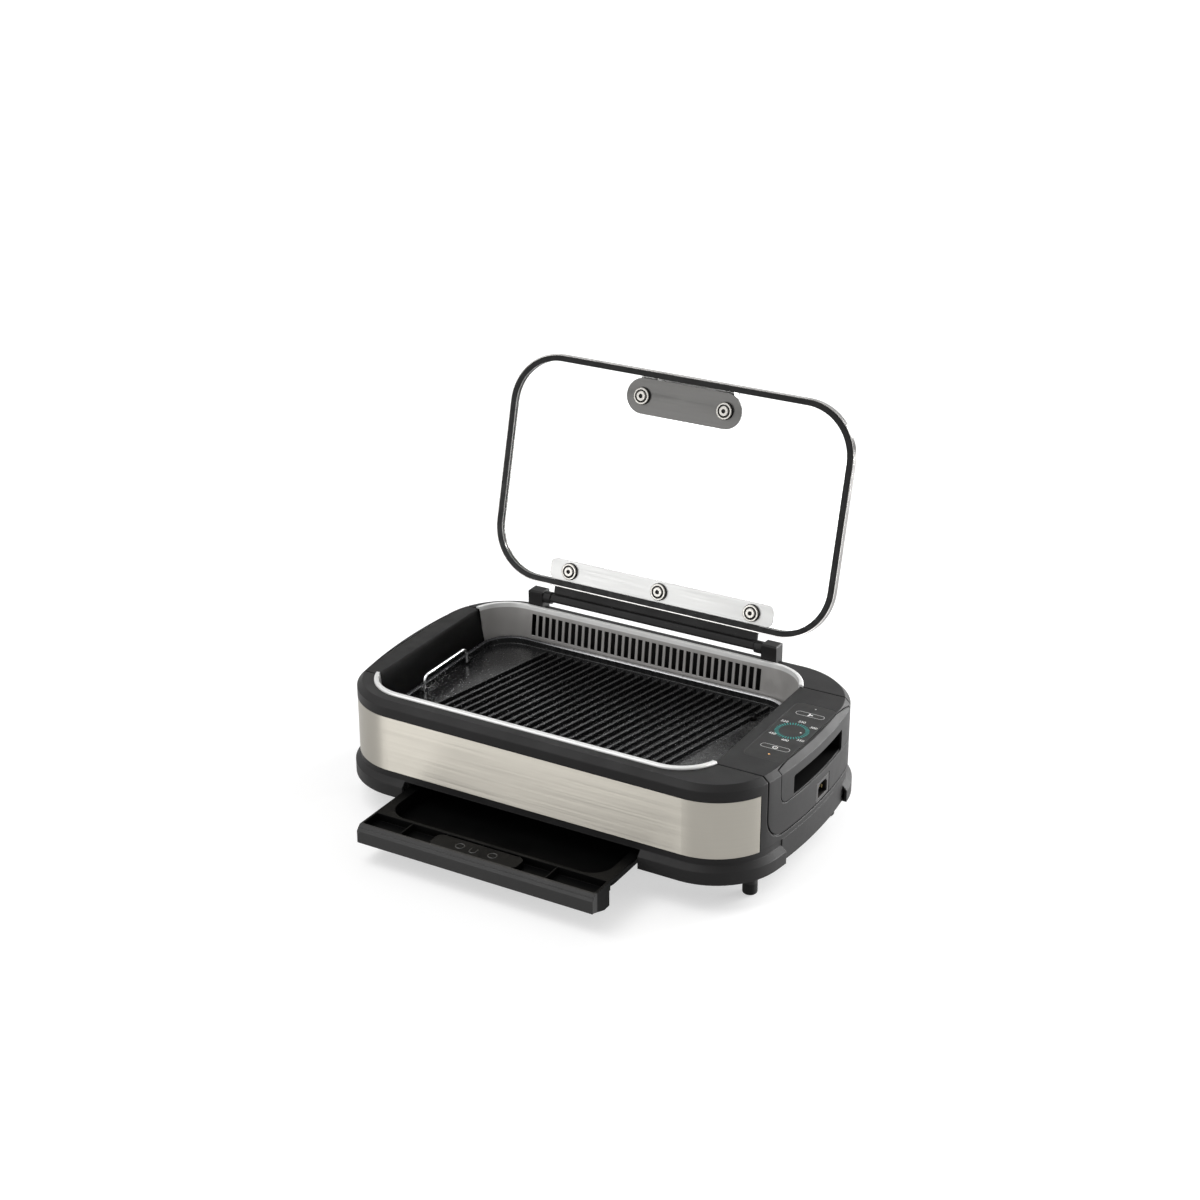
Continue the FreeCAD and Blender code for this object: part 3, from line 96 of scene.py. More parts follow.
def new_finish(name, colour, roughness, metallic=0.0, **sockets):
    """A material with a Principled shader; constants go straight onto the shader's own sockets."""
    finish = bpy.data.materials.new(name)
    finish.use_nodes = True
    shader = finish.node_tree.nodes["Principled BSDF"]
    shader.inputs["Base Color"].default_value = (*colour, 1.0)
    shader.inputs["Roughness"].default_value = roughness
    shader.inputs["Metallic"].default_value = metallic
    for socket, value in sockets.items():
        shader.inputs[socket.replace("_", " ")].default_value = value
    return finish


def add_node(finish, kind, **values):
    """A node of one kind; values name input sockets, with underscores for spaces."""
    node = finish.node_tree.nodes.new(kind)
    for socket, value in values.items():
        node.inputs[socket.replace("_", " ")].default_value = value
    return node


def join(finish, output, entry):
    """A link from a node's output to another node's entry."""
    finish.node_tree.links.new(output, entry)


def place(finish, stretch=(1.0, 1.0, 1.0), turned=(0.0, 0.0, 0.0)):
    """Object coordinates, turned and stretched; a small stretch along an axis makes streaks along it."""
    source = add_node(finish, "ShaderNodeTexCoord")
    mapping = add_node(finish, "ShaderNodeMapping", Scale=stretch, Rotation=turned)
    join(finish, source.outputs["Object"], mapping.inputs["Vector"])
    return mapping.outputs["Vector"]


def noise(finish, scale, detail=2.0, stretch=(1.0, 1.0, 1.0), turned=(0.0, 0.0, 0.0)):
    """Smooth noise between 0 and 1 at a scale in cycles per metre."""
    texture = add_node(finish, "ShaderNodeTexNoise", Scale=scale, Detail=detail)
    join(finish, place(finish, stretch, turned), texture.inputs["Vector"])
    return texture.outputs["Fac"]


def spread(finish, value, low, high, from_low=0.3, from_high=0.7):
    """A noise's middle range stretched to run from low to high."""
    node = add_node(finish, "ShaderNodeMapRange", From_Min=from_low, From_Max=from_high, To_Min=low, To_Max=high)
    join(finish, value, node.inputs["Value"])
    return node.outputs["Result"]


def shader_of(finish):
    """The Principled shader of a finish."""
    return finish.node_tree.nodes["Principled BSDF"]


def vary_colour(finish, value, first, second):
    """The base colour runs between two colours as a noise does."""
    mix = finish.node_tree.nodes.new("ShaderNodeMix")
    mix.data_type = "RGBA"
    mix.inputs["A"].default_value = (*first, 1.0)
    mix.inputs["B"].default_value = (*second, 1.0)
    join(finish, value, mix.inputs["Factor"])
    join(finish, mix.outputs["Result"], shader_of(finish).inputs["Base Color"])


def vary_roughness(finish, value, low, high):
    """The roughness runs from low to high as a noise does."""
    join(finish, spread(finish, value, low, high), shader_of(finish).inputs["Roughness"])


def emboss(finish, value, depth, strength=1.0, soft_edge=0.0):
    """A bump from a height in metres; soft_edge rounds sharp edges by that radius in the shading."""
    bump = add_node(finish, "ShaderNodeBump", Strength=strength, Distance=depth)
    join(finish, value, bump.inputs["Height"])
    if soft_edge:
        rounding = add_node(finish, "ShaderNodeBevel", Radius=soft_edge)
        rounding.samples = 6
        join(finish, rounding.outputs["Normal"], bump.inputs["Normal"])
    join(finish, bump.outputs["Normal"], shader_of(finish).inputs["Normal"])


def along(finish, axis, low, high):
    """0 below a place on an axis, in metres, and 1 above another, read from Object coordinates."""
    split = add_node(finish, "ShaderNodeSeparateXYZ")
    join(finish, place(finish), split.inputs["Vector"])
    return spread(finish, split.outputs[axis], 0.0, 1.0, low, high)


def greatest(tree, *outputs):
    """The largest of several values, by a chain of Maximum nodes."""
    top = outputs[0]
    for output in outputs[1:]:
        node = tree.nodes.new("ShaderNodeMath")
        node.operation = "MAXIMUM"
        tree.links.new(top, node.inputs[0])
        tree.links.new(output, node.inputs[1])
        top = node.outputs["Value"]
    return top


def dress(finish, *names):
    """Puts a finish on solids of the frame."""
    for name in names:
        nodes[name].data.materials.clear()
        nodes[name].data.materials.append(finish)
    print(finish.name, "on", ", ".join(names))


# %% [markdown]
# ## Moulded charcoal plastic
#
# The frame, skirt, ends and hinge are one family of mouldings: charcoal, with a fine spark-eroded grain that
# breaks up the shine. A photograph of plastic could be wrapped on, but a fine noise bump gives the grain at its
# real size on every side. A slower noise shifts colour and roughness a little, as handling does. The left insert
# carries painted shade and a painted highlight: its inner face is painted near black as shade, and its top and outer
# face take a lighter colour that stands in for the highlight along the top, so its colour follows the height and the
# side.

# %% Charcoal plastic
charcoal = new_finish("charcoal_plastic", (0.0095, 0.0091, 0.0092), 0.5, Specular_IOR_Level=0.20)
vary_colour(charcoal, noise(charcoal, 60.0, 3.0), (0.0080, 0.0076, 0.0077), (0.0110, 0.0106, 0.0107))
vary_roughness(charcoal, noise(charcoal, 25.0), 0.44, 0.56)
emboss(charcoal, noise(charcoal, 1700.0, 1.0), 0.00006, 0.5, soft_edge=0.0014)
dress(charcoal, "upper_housing", "lower_skirt", "control_module", "module_grip", "insert_grip",
      "hinge_blocks", "hinge_bar")

# Painted shade and highlight: the insert's inner face is painted near black as shade, and its top and outer face
# lighter as a highlight.
insert_painted_shade = new_finish("insert_painted_shade_plastic", (0.009, 0.0088, 0.0088), 0.55, Specular_IOR_Level=0.12)
insert_top = float(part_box("left_end_insert")[1][2])
lit_top_mask = along(insert_painted_shade, "Z", insert_top - 5.0 * mm, insert_top - 1.0 * mm)
unshaded_outer_mask = along(insert_painted_shade, "X", -246.0 * mm, -252.0 * mm)
vary_colour(insert_painted_shade, greatest(insert_painted_shade.node_tree, lit_top_mask, unshaded_outer_mask),
            (0.0022, 0.0021, 0.0021), (0.016, 0.0154, 0.0154))
vary_roughness(insert_painted_shade, noise(insert_painted_shade, 60.0, 3.0), 0.48, 0.60)
emboss(insert_painted_shade, noise(insert_painted_shade, 1700.0, 1.0), 0.00006, 0.5, soft_edge=0.0014)
dress(insert_painted_shade, "left_end_insert")

# %% [markdown]
# ## Black inner plastic and the drawer
#
# Under the floor and round the fan the plastic is plain black. The cups behind the hand holds are painted blacker
# still, as shade, and the inlet is painted near black inside, as shade, with its mouth painted paler as a highlight.
# The drawer's front bar is lighter than its pocket, which is painted near black and dull as shade. One finish serves
# each piece: its colour steps from one value to the other at a place on an axis, where two finishes would need the
# mesh cut in two.

# %% Inner plastic and drawer plastic
inner_black = new_finish("inner_black_plastic", (0.008, 0.008, 0.008), 0.6, Specular_IOR_Level=0.3)
vary_colour(inner_black, noise(inner_black, 80.0), (0.006, 0.006, 0.006), (0.011, 0.010, 0.010))
emboss(inner_black, noise(inner_black, 1200.0), 0.00006, 0.4, soft_edge=0.0006)
dress(inner_black, "base_floor", "drawer_rails", "fan_case", "fan_impeller")

# Painted shade: the hand holds' cups are painted blacker and duller than the rest of the inner plastic.
cup_painted_shade = new_finish("hand_cup_painted_shade", (0.003, 0.003, 0.003), 0.8, Specular_IOR_Level=0.05)
vary_colour(cup_painted_shade, noise(cup_painted_shade, 80.0), (0.002, 0.002, 0.002), (0.004, 0.004, 0.004))
emboss(cup_painted_shade, noise(cup_painted_shade, 1200.0), 0.00006, 0.4)
dress(cup_painted_shade, "module_hand_cup", "insert_hand_cup")

# Painted shade and highlight: the socket is painted near black inside as shade, and its mouth paler as a highlight on
# its edge.
socket_shade_and_highlight = new_finish("inlet_socket_shade_and_highlight", (0.004, 0.004, 0.004), 0.5, Specular_IOR_Level=0.25)
mouth_x = float(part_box("mains_inlet")[1][0])
vary_colour(socket_shade_and_highlight, along(socket_shade_and_highlight, "X", mouth_x - 3.0 * mm, mouth_x - 2.0 * mm),
            (0.003, 0.003, 0.003), (0.030, 0.029, 0.029))
emboss(socket_shade_and_highlight, noise(socket_shade_and_highlight, 1200.0), 0.00006, 0.4, soft_edge=0.0008)
dress(socket_shade_and_highlight, "mains_inlet")

# Painted shade: the drawer's pocket is painted near black and dull, behind a lighter front bar.
drawer_painted_shade = new_finish("drawer_painted_shade_plastic", (0.008, 0.008, 0.008), 0.42, Specular_IOR_Level=0.3)
drawer_front = float(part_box("drip_drawer")[0][1])
drawer_shaded_pocket = along(drawer_painted_shade, "Y", drawer_front + 9.0 * mm, drawer_front + 11.0 * mm)
vary_colour(drawer_painted_shade, drawer_shaded_pocket, (0.019, 0.0185, 0.0185), (0.0018, 0.0018, 0.0018))
join(drawer_painted_shade, spread(drawer_painted_shade, drawer_shaded_pocket, 0.30, 0.06, 0.0, 1.0),
     shader_of(drawer_painted_shade).inputs["Specular IOR Level"])
vary_roughness(drawer_painted_shade, noise(drawer_painted_shade, 30.0), 0.36, 0.50)
emboss(drawer_painted_shade, noise(drawer_painted_shade, 1500.0, 1.0), 0.00005, 0.35, soft_edge=0.0009)
dress(drawer_painted_shade, "drip_drawer")

# %% [markdown]
# ## Brushed steel
#
# The band was brushed along its length before it was bent, so the scratches run level all the way round. Noise
# squeezed hard along Z and drawn out along X and Y gives such streaks at every angle of the bend. They drive the
# roughness, the colour and a tiny bump, and an anisotropic shader stretches the highlights across them, most of
# all on the band, where the floor and the lamps run together into one soft sheen.

# %% Brushed band, lid edge and the lid's plates


def brushed(name, colour, roughness, stretch, turned=(0.0, 0.0, 0.0), soft_edge=0.0, drawn=0.6):
    """Steel with straight scratches: fine noise drawn out along the brushing direction."""
    steel = new_finish(name, colour, roughness, 1.0, Anisotropic=drawn, Anisotropic_Rotation=0.25)
    scratches = noise(steel, 1.0, 3.0, stretch, turned)
    bright = tuple(min(1.0, c * 1.08) for c in colour)
    dull = tuple(c * 0.92 for c in colour)
    vary_colour(steel, scratches, dull, bright)
    vary_roughness(steel, scratches, roughness - 0.06, roughness + 0.08)
    emboss(steel, scratches, 0.00002, 0.30, soft_edge)
    return steel


band_steel = brushed("brushed_band_steel", (0.43, 0.408, 0.362), 0.38, (5.0, 5.0, 900.0), soft_edge=0.0004,
                     drawn=0.88)
dress(band_steel, "steel_band")
even = (60.0, 60.0, 60.0)
lid_steel = brushed("polished_lid_steel", (0.22, 0.215, 0.21), 0.16, even, soft_edge=0.0006)
dress(lid_steel, "lid_rim")
along_x = (14.0, 2400.0, 2400.0)
plate_steel = brushed("satin_plate_steel", (0.38, 0.38, 0.375), 0.44, along_x, soft_edge=0.0004)
dress(plate_steel, "hinge_plate")
grey_steel = brushed("grey_plate_steel", (0.073, 0.072, 0.070), 0.36, along_x, soft_edge=0.0004)
dress(grey_steel, "handle_plate")
grip_steel = brushed("satin_grip_steel", (0.36, 0.355, 0.35), 0.34, along_x, soft_edge=0.0006)
dress(grip_steel, "handle_grip")
screw_steel = brushed("turned_screw_steel", (0.22, 0.213, 0.20), 0.26, (500.0, 500.0, 500.0), soft_edge=0.0003)
dress(screw_steel, "lid_screws", "hinge_pins", "base_screws")

# %% [markdown]
# ## The silver well and its tray
#
# The liner is pressed sheet with a satin silver coat: metallic, but far softer than bare steel. Its rolled lip
# carries
# a painted highlight: the colour steps up to a paler silver at the lip's height. The tray and element below are bare
# and heat-stained. The plate wears a black non-stick coat, which is glossy and faintly orange-peeled where it was
# sprayed.

# %% Liner, shield, element and plate
liner_with_lip_highlight = new_finish("silver_liner_painted_lip_highlight", (0.42, 0.415, 0.41), 0.36, 0.3)
# Painted highlight: the lip is painted paler than the wall.
lip_highlight_from, lip_highlight_to = 148.6 * mm, 149.6 * mm
vary_colour(liner_with_lip_highlight, along(liner_with_lip_highlight, "Z", lip_highlight_from, lip_highlight_to), (0.34, 0.33, 0.32), (0.70, 0.70, 0.69))
vary_roughness(liner_with_lip_highlight, noise(liner_with_lip_highlight, 90.0), 0.30, 0.44)
emboss(liner_with_lip_highlight, noise(liner_with_lip_highlight, 1400.0), 0.00004, 0.3, soft_edge=0.0008)
dress(liner_with_lip_highlight, "well_liner")

shield_metal = new_finish("bare_shield_aluminium", (0.50, 0.50, 0.50), 0.35, 1.0)
vary_colour(shield_metal, noise(shield_metal, 20.0, 4.0), (0.36, 0.33, 0.30), (0.56, 0.56, 0.56))
emboss(shield_metal, noise(shield_metal, 700.0), 0.00005, 0.3)
dress(shield_metal, "heat_shield")

sheath = new_finish("dull_element_sheath", (0.10, 0.095, 0.09), 0.5, 0.8)
vary_colour(sheath, noise(sheath, 120.0, 4.0), (0.06, 0.055, 0.05), (0.15, 0.13, 0.12))
emboss(sheath, noise(sheath, 900.0), 0.00005, 0.4)
dress(sheath, "heating_element", "thermostat_probe")

nonstick = new_finish("nonstick_plate_coat", (0.007, 0.007, 0.0074), 0.25, Specular_IOR_Level=0.5)
vary_colour(nonstick, noise(nonstick, 70.0, 3.0), (0.005, 0.005, 0.0054), (0.009, 0.009, 0.0095))
vary_roughness(nonstick, noise(nonstick, 220.0), 0.21, 0.30)
emboss(nonstick, noise(nonstick, 500.0, 1.0), 0.00001, 0.1, soft_edge=0.0014)
dress(nonstick, "grill_plate")

# %% [markdown]
# ## Chrome, rubber, glass and the small parts
#
# The bails are bright plated wire. Rubber is the darkest, dullest thing on the grill. The lid is clear tempered
# glass: a transmission of one with a green-grey hint, and the faintest waviness so that reflections move a little.

# %% Remaining finishes
chrome = new_finish("bail_chrome", (0.78, 0.78, 0.79), 0.08, 1.0)
vary_roughness(chrome, noise(chrome, 300.0), 0.05, 0.13)
emboss(chrome, noise(chrome, 400.0), 0.00002, 0.2)
dress(chrome, "left_bail", "right_bail")

rubber = new_finish("black_rubber", (0.006, 0.006, 0.006), 0.62, Specular_IOR_Level=0.2)
vary_colour(rubber, noise(rubber, 150.0), (0.005, 0.005, 0.005), (0.008, 0.0078, 0.0078))
emboss(rubber, noise(rubber, 1500.0), 0.00008, 0.4, soft_edge=0.0006)
dress(rubber, "rubber_feet", "lid_washers")

seal_and_shade_black = new_finish("lid_seal_and_painted_shade", (0.006, 0.006, 0.006), 0.38, Specular_IOR_Level=0.12)
vary_roughness(seal_and_shade_black, noise(seal_and_shade_black, 120.0), 0.30, 0.46)
emboss(seal_and_shade_black, noise(seal_and_shade_black, 900.0), 0.00005, 0.3, soft_edge=0.0006)
dress(seal_and_shade_black, "lid_gasket")

glass = new_finish("clear_lid_glass", (0.985, 0.995, 0.99), 0.0, Transmission_Weight=1.0, IOR=1.46)
emboss(glass, noise(glass, 6.0), 0.00002, 0.15)
dress(glass, "lid_glass")

gloss = new_finish("touch_face_lacquer", (0.0115, 0.011, 0.0108), 0.46, Specular_IOR_Level=0.22)
vary_roughness(gloss, noise(gloss, 60.0, 3.0), 0.42, 0.52)
emboss(gloss, noise(gloss, 1700.0, 1.0), 0.00005, 0.4, soft_edge=0.0005)
dress(gloss, "touch_panel")

laminate = new_finish("board_laminate", (0.03, 0.16, 0.07), 0.45)
vary_colour(laminate, noise(laminate, 400.0), (0.02, 0.12, 0.05), (0.04, 0.19, 0.09))
dress(laminate, "control_board")

brass = new_finish("pin_brass", (0.70, 0.55, 0.25), 0.25, 1.0)
vary_roughness(brass, noise(brass, 500.0), 0.2, 0.34)
dress(brass, "inlet_pins")

motor_can = new_finish("motor_can", (0.30, 0.30, 0.31), 0.4, 0.9)
vary_roughness(motor_can, noise(motor_can, 300.0), 0.34, 0.46)
dress(motor_can, "fan_motor")

# %% [markdown]
# ## Making meshes from arrays
#
# The added pieces are all one idea: a surface is a grid of points, worked out by a formula in two parameters, and
# neighbouring points are joined into four-sided faces. Loops over points would be slow and hard to read, so each
# formula fills a whole array at once.

# %% Grid surfaces


def grid_faces(rows, columns, wrap_rows=False, wrap_columns=False):
    """Corner numbers of the faces between neighbours on a grid; wrapping joins the last line to the first."""
    i, j = np.meshgrid(np.arange(rows - (not wrap_rows)), np.arange(columns - (not wrap_columns)), indexing="ij")
    i2, j2 = (i + 1) % rows, (j + 1) % columns
    return np.stack([i * columns + j, i * columns + j2, i2 * columns + j2, i2 * columns + j], -1).reshape(-1, 4)


def new_piece(name, points, faces, finish, body, slot, smooth=True):
    """A mesh object from arrays of points and faces, riding on a body of the frame."""
    mesh = bpy.data.meshes.new(name)
    mesh.from_pydata(np.asarray(points, float).reshape(-1, 3).tolist(), [], [face.tolist() for face in faces])
    mesh.polygons.foreach_set("use_smooth", np.full(len(mesh.polygons), smooth))
    mesh.materials.append(finish)
    piece = bpy.data.objects.new(name, mesh)
    bpy.context.collection.objects.link(piece)
    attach(piece, body)
    print(name, len(mesh.polygons), "faces on", body)
    return piece


def stack(parts):
    """Several grids (points, faces) as one: each grid's face numbers move up by the points before it."""
    sizes = np.cumsum([0] + [len(points) for points, _ in parts])
    points = np.concatenate([points for points, _ in parts])
    faces = np.concatenate([faces + start for (_, faces), start in zip(parts, sizes)])
    return points, faces


# %% [markdown]
# ## Marks on the touch face
#
# The control face is printed: a ring of teal ticks that lights up, six settings round it, and a pill for the fan
# and for power, each with a small lamp. The marks could be painted in a shader, but real ink stands on the surface
# and keeps sharp edges at any distance, so each mark is a very thin sheet just above the face.

# %% Inks
ink_lift = 0.05
ink_level = float(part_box("touch_panel")[1][2]) / mm + ink_lift
ring_middle = drawing + (239.4, 2.5)

white_ink = new_finish("white_ink", (0.85, 0.85, 0.83), 0.5)
vary_colour(white_ink, noise(white_ink, 900.0), (0.80, 0.80, 0.78), (0.90, 0.90, 0.88))
grey_ink = new_finish("grey_ink", (0.42, 0.42, 0.41), 0.5)
vary_colour(grey_ink, noise(grey_ink, 900.0), (0.38, 0.38, 0.37), (0.46, 0.46, 0.45))
teal_ink = new_finish("teal_lit_ink", (0.02, 0.28, 0.25), 0.4, Specular_IOR_Level=0.1,
                      Emission_Color=(0.03, 0.50, 0.45, 1.0), Emission_Strength=0.16)
vary_colour(teal_ink, noise(teal_ink, 700.0), (0.015, 0.25, 0.22), (0.03, 0.32, 0.29))
amber_ink = new_finish("amber_lamp", (0.75, 0.36, 0.08), 0.3,
                       Emission_Color=(1.0, 0.48, 0.10, 1.0), Emission_Strength=0.5)
vary_colour(amber_ink, noise(amber_ink, 700.0), (0.70, 0.32, 0.06), (0.80, 0.42, 0.12))


def flat_sheet(grid, wrap_rows=False):
    """A grid of (x, y) in millimetres laid at the ink's level, with its faces."""
    level = np.full(grid.shape[:2] + (1,), ink_level)
    points = np.concatenate([grid, level], -1) * mm
    return points.reshape(-1, 3), grid_faces(*grid.shape[:2], wrap_rows=wrap_rows)


def ring_band(centre, inner, outer, start=0.0, sweep=2 * np.pi, steps=64):
    """Part of a flat ring: points centre + r (cos a, sin a) for two radii and a run of angles."""
    angle = np.linspace(start, start + sweep, steps)
    way = np.stack([np.cos(angle), np.sin(angle)], -1)
    radius = np.array((outer, inner))
    return np.asarray(centre) + radius[None, :, None] * way[:, None, :]


def bar(centre, length, width):
    """A flat rectangle along X."""
    x, y = np.meshgrid((-length / 2, length / 2), (-width / 2, width / 2), indexing="ij")
    return np.asarray(centre) + np.stack([x, y], -1)


def pill_outline(centre, length, width, line, steps=24):
    """Two half circles joined by straights, as a band of a given line width."""
    angle = np.concatenate([np.linspace(-np.pi / 2, np.pi / 2, steps), np.linspace(np.pi / 2, 1.5 * np.pi, steps)])
    way = np.stack([np.cos(angle), np.sin(angle)], -1)
    shift = np.where(np.arange(2 * steps) < steps, 1.0, -1.0) * (length - width) / 2
    hub = np.stack([shift, np.zeros_like(shift)], -1)
    radius = np.array((width / 2, width / 2 - line))
    return np.asarray(centre) + hub[:, None, :] + radius[None, :, None] * way[:, None, :]


# %% [markdown]
# ## Ring of ticks
#
# The ring shows the heat: short ticks at even turns, lit from behind. A texture could paint them, but each tick is
# simply a slice of a flat ring, so one formula and a list of start angles make them all.

# %% Ring of ticks
tick_count, tick_inner, tick_outer, tick_turn = 36, 14.8, 19.4, 0.052
start = np.arange(tick_count) * 2 * np.pi / tick_count
tick_steps = 3
ticks = [flat_sheet(ring_band(ring_middle, tick_inner, tick_outer, a, tick_turn, tick_steps)) for a in start]
new_piece("tick_ring", *stack(ticks), teal_ink, "base", "touch_glossy", smooth=False)

# %% [markdown]
# ## Pills, lamps and signs
#
# Two touch areas are outlined as pills, with a fan sign in one and a power sign in the other, since plain signs
# need no language. The lamp above is off and grey, and the lamp below glows amber. Lines and dots are parts of flat
# rings again, and the fan's edge is a cosine in the angle.

# %% Pills, lamps and symbols
fan_middle, power_middle = drawing + (240.6, 47.0), drawing + (240.6, -42.0)
fan_lamp, power_lamp, setting_dot = drawing + (240.0, 63.0), drawing + (241.5, -59.0), ring_middle + (10.4, 0.5)
pill_length, pill_width, pill_line = 35.0, 9.0, 0.7


def dot(centre, radius, steps=24):
    """A flat disc: a ring whose inner radius is nothing."""
    return flat_sheet(ring_band(centre, 0.0, radius, steps=steps))


pills = [flat_sheet(pill_outline(place_at, pill_length, pill_width, pill_line), wrap_rows=True)
         for place_at in (fan_middle, power_middle)]
pills.append(dot(fan_lamp, 1.0))
new_piece("pill_outlines", *stack(pills), grey_ink, "base", "touch_glossy", smooth=False)


def petal_sheet(centre, size, petals, steps=72):
    """A flat fan sign: the edge is at r = size (0.55 + 0.45 cos(petals a)), joined to the middle."""
    angle = np.linspace(0.0, 2 * np.pi, steps)
    radius = size * (0.55 + 0.45 * np.cos(petals * angle))
    edge = np.stack([np.cos(angle), np.sin(angle)], -1) * radius[:, None]
    return np.asarray(centre) + np.stack([edge, edge * 0.18], 1)


symbols = [
    flat_sheet(petal_sheet(fan_middle, 3.6, 3)),
    flat_sheet(ring_band(power_middle, 2.1, 3.1, np.radians(125), np.radians(290), 32)),
    flat_sheet(bar(power_middle + (0.0, 1.9), 0.9, 3.0)),
    dot(setting_dot, 1.0, steps=20),
]
new_piece("touch_symbols", *stack(symbols), white_ink, "base", "touch_glossy", smooth=False)
new_piece("touch_lamp", *dot(power_lamp, 1.1), amber_ink, "base", "touch_glossy", smooth=False)

# %% [markdown]
# ## Numerals
#
# Six plain numbers stand round the ring. Drawing digits by hand would be slow, so Blender's own font gives their
# outlines. Each text is made a mesh first, and only then scaled to its height and set in its place.

# %% Numerals
numeral_height = 4.2
settings = {"220": (222.0, 20.0), "250": (240.0, 27.5), "300": (257.5, 20.5),
            "350": (257.5, -13.6), "400": (242.0, -21.0), "450": (223.0, -13.0)}


def numeral_mesh(text, centre, height):
    """A number as flat faces: the font's outline is meshed, scaled to a height and centred on a place."""
    outline = bpy.data.curves.new("numeral", "FONT")
    outline.body = text
    writer = bpy.data.objects.new("numeral", outline)
    mesh = bpy.data.meshes.new_from_object(writer)
    flat = np.empty(len(mesh.vertices) * 3)
    mesh.vertices.foreach_get("co", flat)
    flat = flat.reshape(-1, 3)[:, :2]
    low, high = flat.min(0), flat.max(0)
    flat = (flat - (low + high) / 2) * height / (high[1] - low[1]) + centre
    corners = np.empty(len(mesh.loops), int)
    mesh.loops.foreach_get("vertex_index", corners)
    starts = np.empty(len(mesh.polygons), int)
    mesh.polygons.foreach_get("loop_start", starts)
    faces = np.split(corners, starts[1:])
    bpy.data.objects.remove(writer)
    bpy.data.curves.remove(outline)
    bpy.data.meshes.remove(mesh)
    return flat, faces


number_points, number_faces, before = [], [], 0
for text, centre in settings.items():
    flat, faces = numeral_mesh(text, drawing + centre, numeral_height)
    number_points.append(np.column_stack([flat, np.full(len(flat), ink_level)]) * mm)
    number_faces += [face + before for face in faces]
    before += len(flat)
new_piece("setting_numerals", np.concatenate(number_points), number_faces, white_ink, "base", "touch_glossy",
          smooth=False)

# %% [markdown]
# ## Shadow rings in the lid's screws
#
# Each lid screw is a stack: a soft washer, a bright cup and a domed head. The gap between cup and head, and the
# socket in the head, lie in shade and read as dark rings. A darker steel would spoil the bright parts, so thin
# black rings of painted shade lie in the gaps. They are worked out on the shut lid and turned open with it about the
# hinge.

# %% Rings in the cups and sockets
hinge_at = np.array((0.0, 154.0, 165.0))
lid_turn = np.radians(-104.4)
fittings_x = -13.0
screw_rows = [(fittings_x + x, 114.5, 157.4) for x in (-124.0, 0.0, 124.0)]
screw_rows += [(fittings_x + x, -114.0, 156.9) for x in (-55.25, 55.25)]
ring_lift = 0.06
cup_floor, socket_floor = 2.4 + ring_lift, 3.0 + ring_lift
cup_inner, cup_outer, socket_radius = 6.45, 7.85, 2.55


def open_lid(points):
    """Points of the shut lid in drawing millimetres, turned about the hinge and moved into the frame."""
    y, z = points[..., 1] - hinge_at[1], points[..., 2] - hinge_at[2]
    turned_y = y * np.cos(lid_turn) - z * np.sin(lid_turn) + hinge_at[1]
    turned_z = y * np.sin(lid_turn) + z * np.cos(lid_turn) + hinge_at[2]
    return np.stack([points[..., 0], turned_y + drawing[1], turned_z], -1) * mm


def lid_shade_ring(centre, drop, inner, outer):
    """A flat ring of painted shade below a screw's seat on the shut lid."""
    flat = ring_band(np.array(centre[:2]), inner, outer, steps=48)
    level = np.full(flat.shape[:2] + (1,), centre[2] - drop)
    points = open_lid(np.concatenate([flat, level], -1))
    return points.reshape(-1, 3), grid_faces(*flat.shape[:2])[:, ::-1]


# Painted shade: thin black rings in the cup gaps and in the sockets.
rings = [lid_shade_ring(place_at, cup_floor, cup_inner, cup_outer) for place_at in screw_rows]
rings += [lid_shade_ring(place_at, socket_floor, 0.0, socket_radius) for place_at in screw_rows]
new_piece("screw_shadow_rings", *stack(rings), seal_and_shade_black, "lid", "black_rubber", smooth=False)

# %% [markdown]
# ## The rolled edge of the plate
#
# Cast plates have a rolled rim, and its crown catches a line of light. The solid plate has a square rim. Rounding
# it in the solid would be possible; a half-round bead carried round the plate's outline is lighter and shows the
# same line. The line is a painted highlight: the bead is painted pale, except at the left end, where it is black.

# %% Plate bead
plate_middle = drawing + (-20.0, 0.0)
plate_half, plate_corner = np.array((208.0, 133.5)), 42.0
bead_width, bead_rise, bead_foot, bead_overhang = 5.2, 1.3, 113.3, 0.1
highlight_from, highlight_to = -170.0 * mm, -80.0 * mm


def rounded_path(half, corner, steps=24):
    """A rectangle with round corners as points and the outward ways at them: centre + radius (cos a, sin a)."""
    angle = np.linspace(0.0, np.pi / 2, steps)[None, :] + np.arange(4)[:, None] * np.pi / 2
    way = np.stack([np.cos(angle), np.sin(angle)], -1)
    hub = np.array(((1, 1), (-1, 1), (-1, -1), (1, -1)))[:, None, :] * (half - corner)
    return (hub + corner * way).reshape(-1, 2), way.reshape(-1, 2)


path_points, path_ways = rounded_path(plate_half, plate_corner)
turn_round = np.linspace(0.0, np.pi, 12)
inward = bead_width * (0.5 - 0.5 * np.cos(turn_round)) - bead_overhang
flat = plate_middle + path_points[:, None, :] - path_ways[:, None, :] * inward[None, :, None]
crown = np.broadcast_to(bead_foot + bead_rise * np.sin(turn_round), flat.shape[:2])
bead_grid = np.concatenate([flat, crown[..., None]], -1) * mm
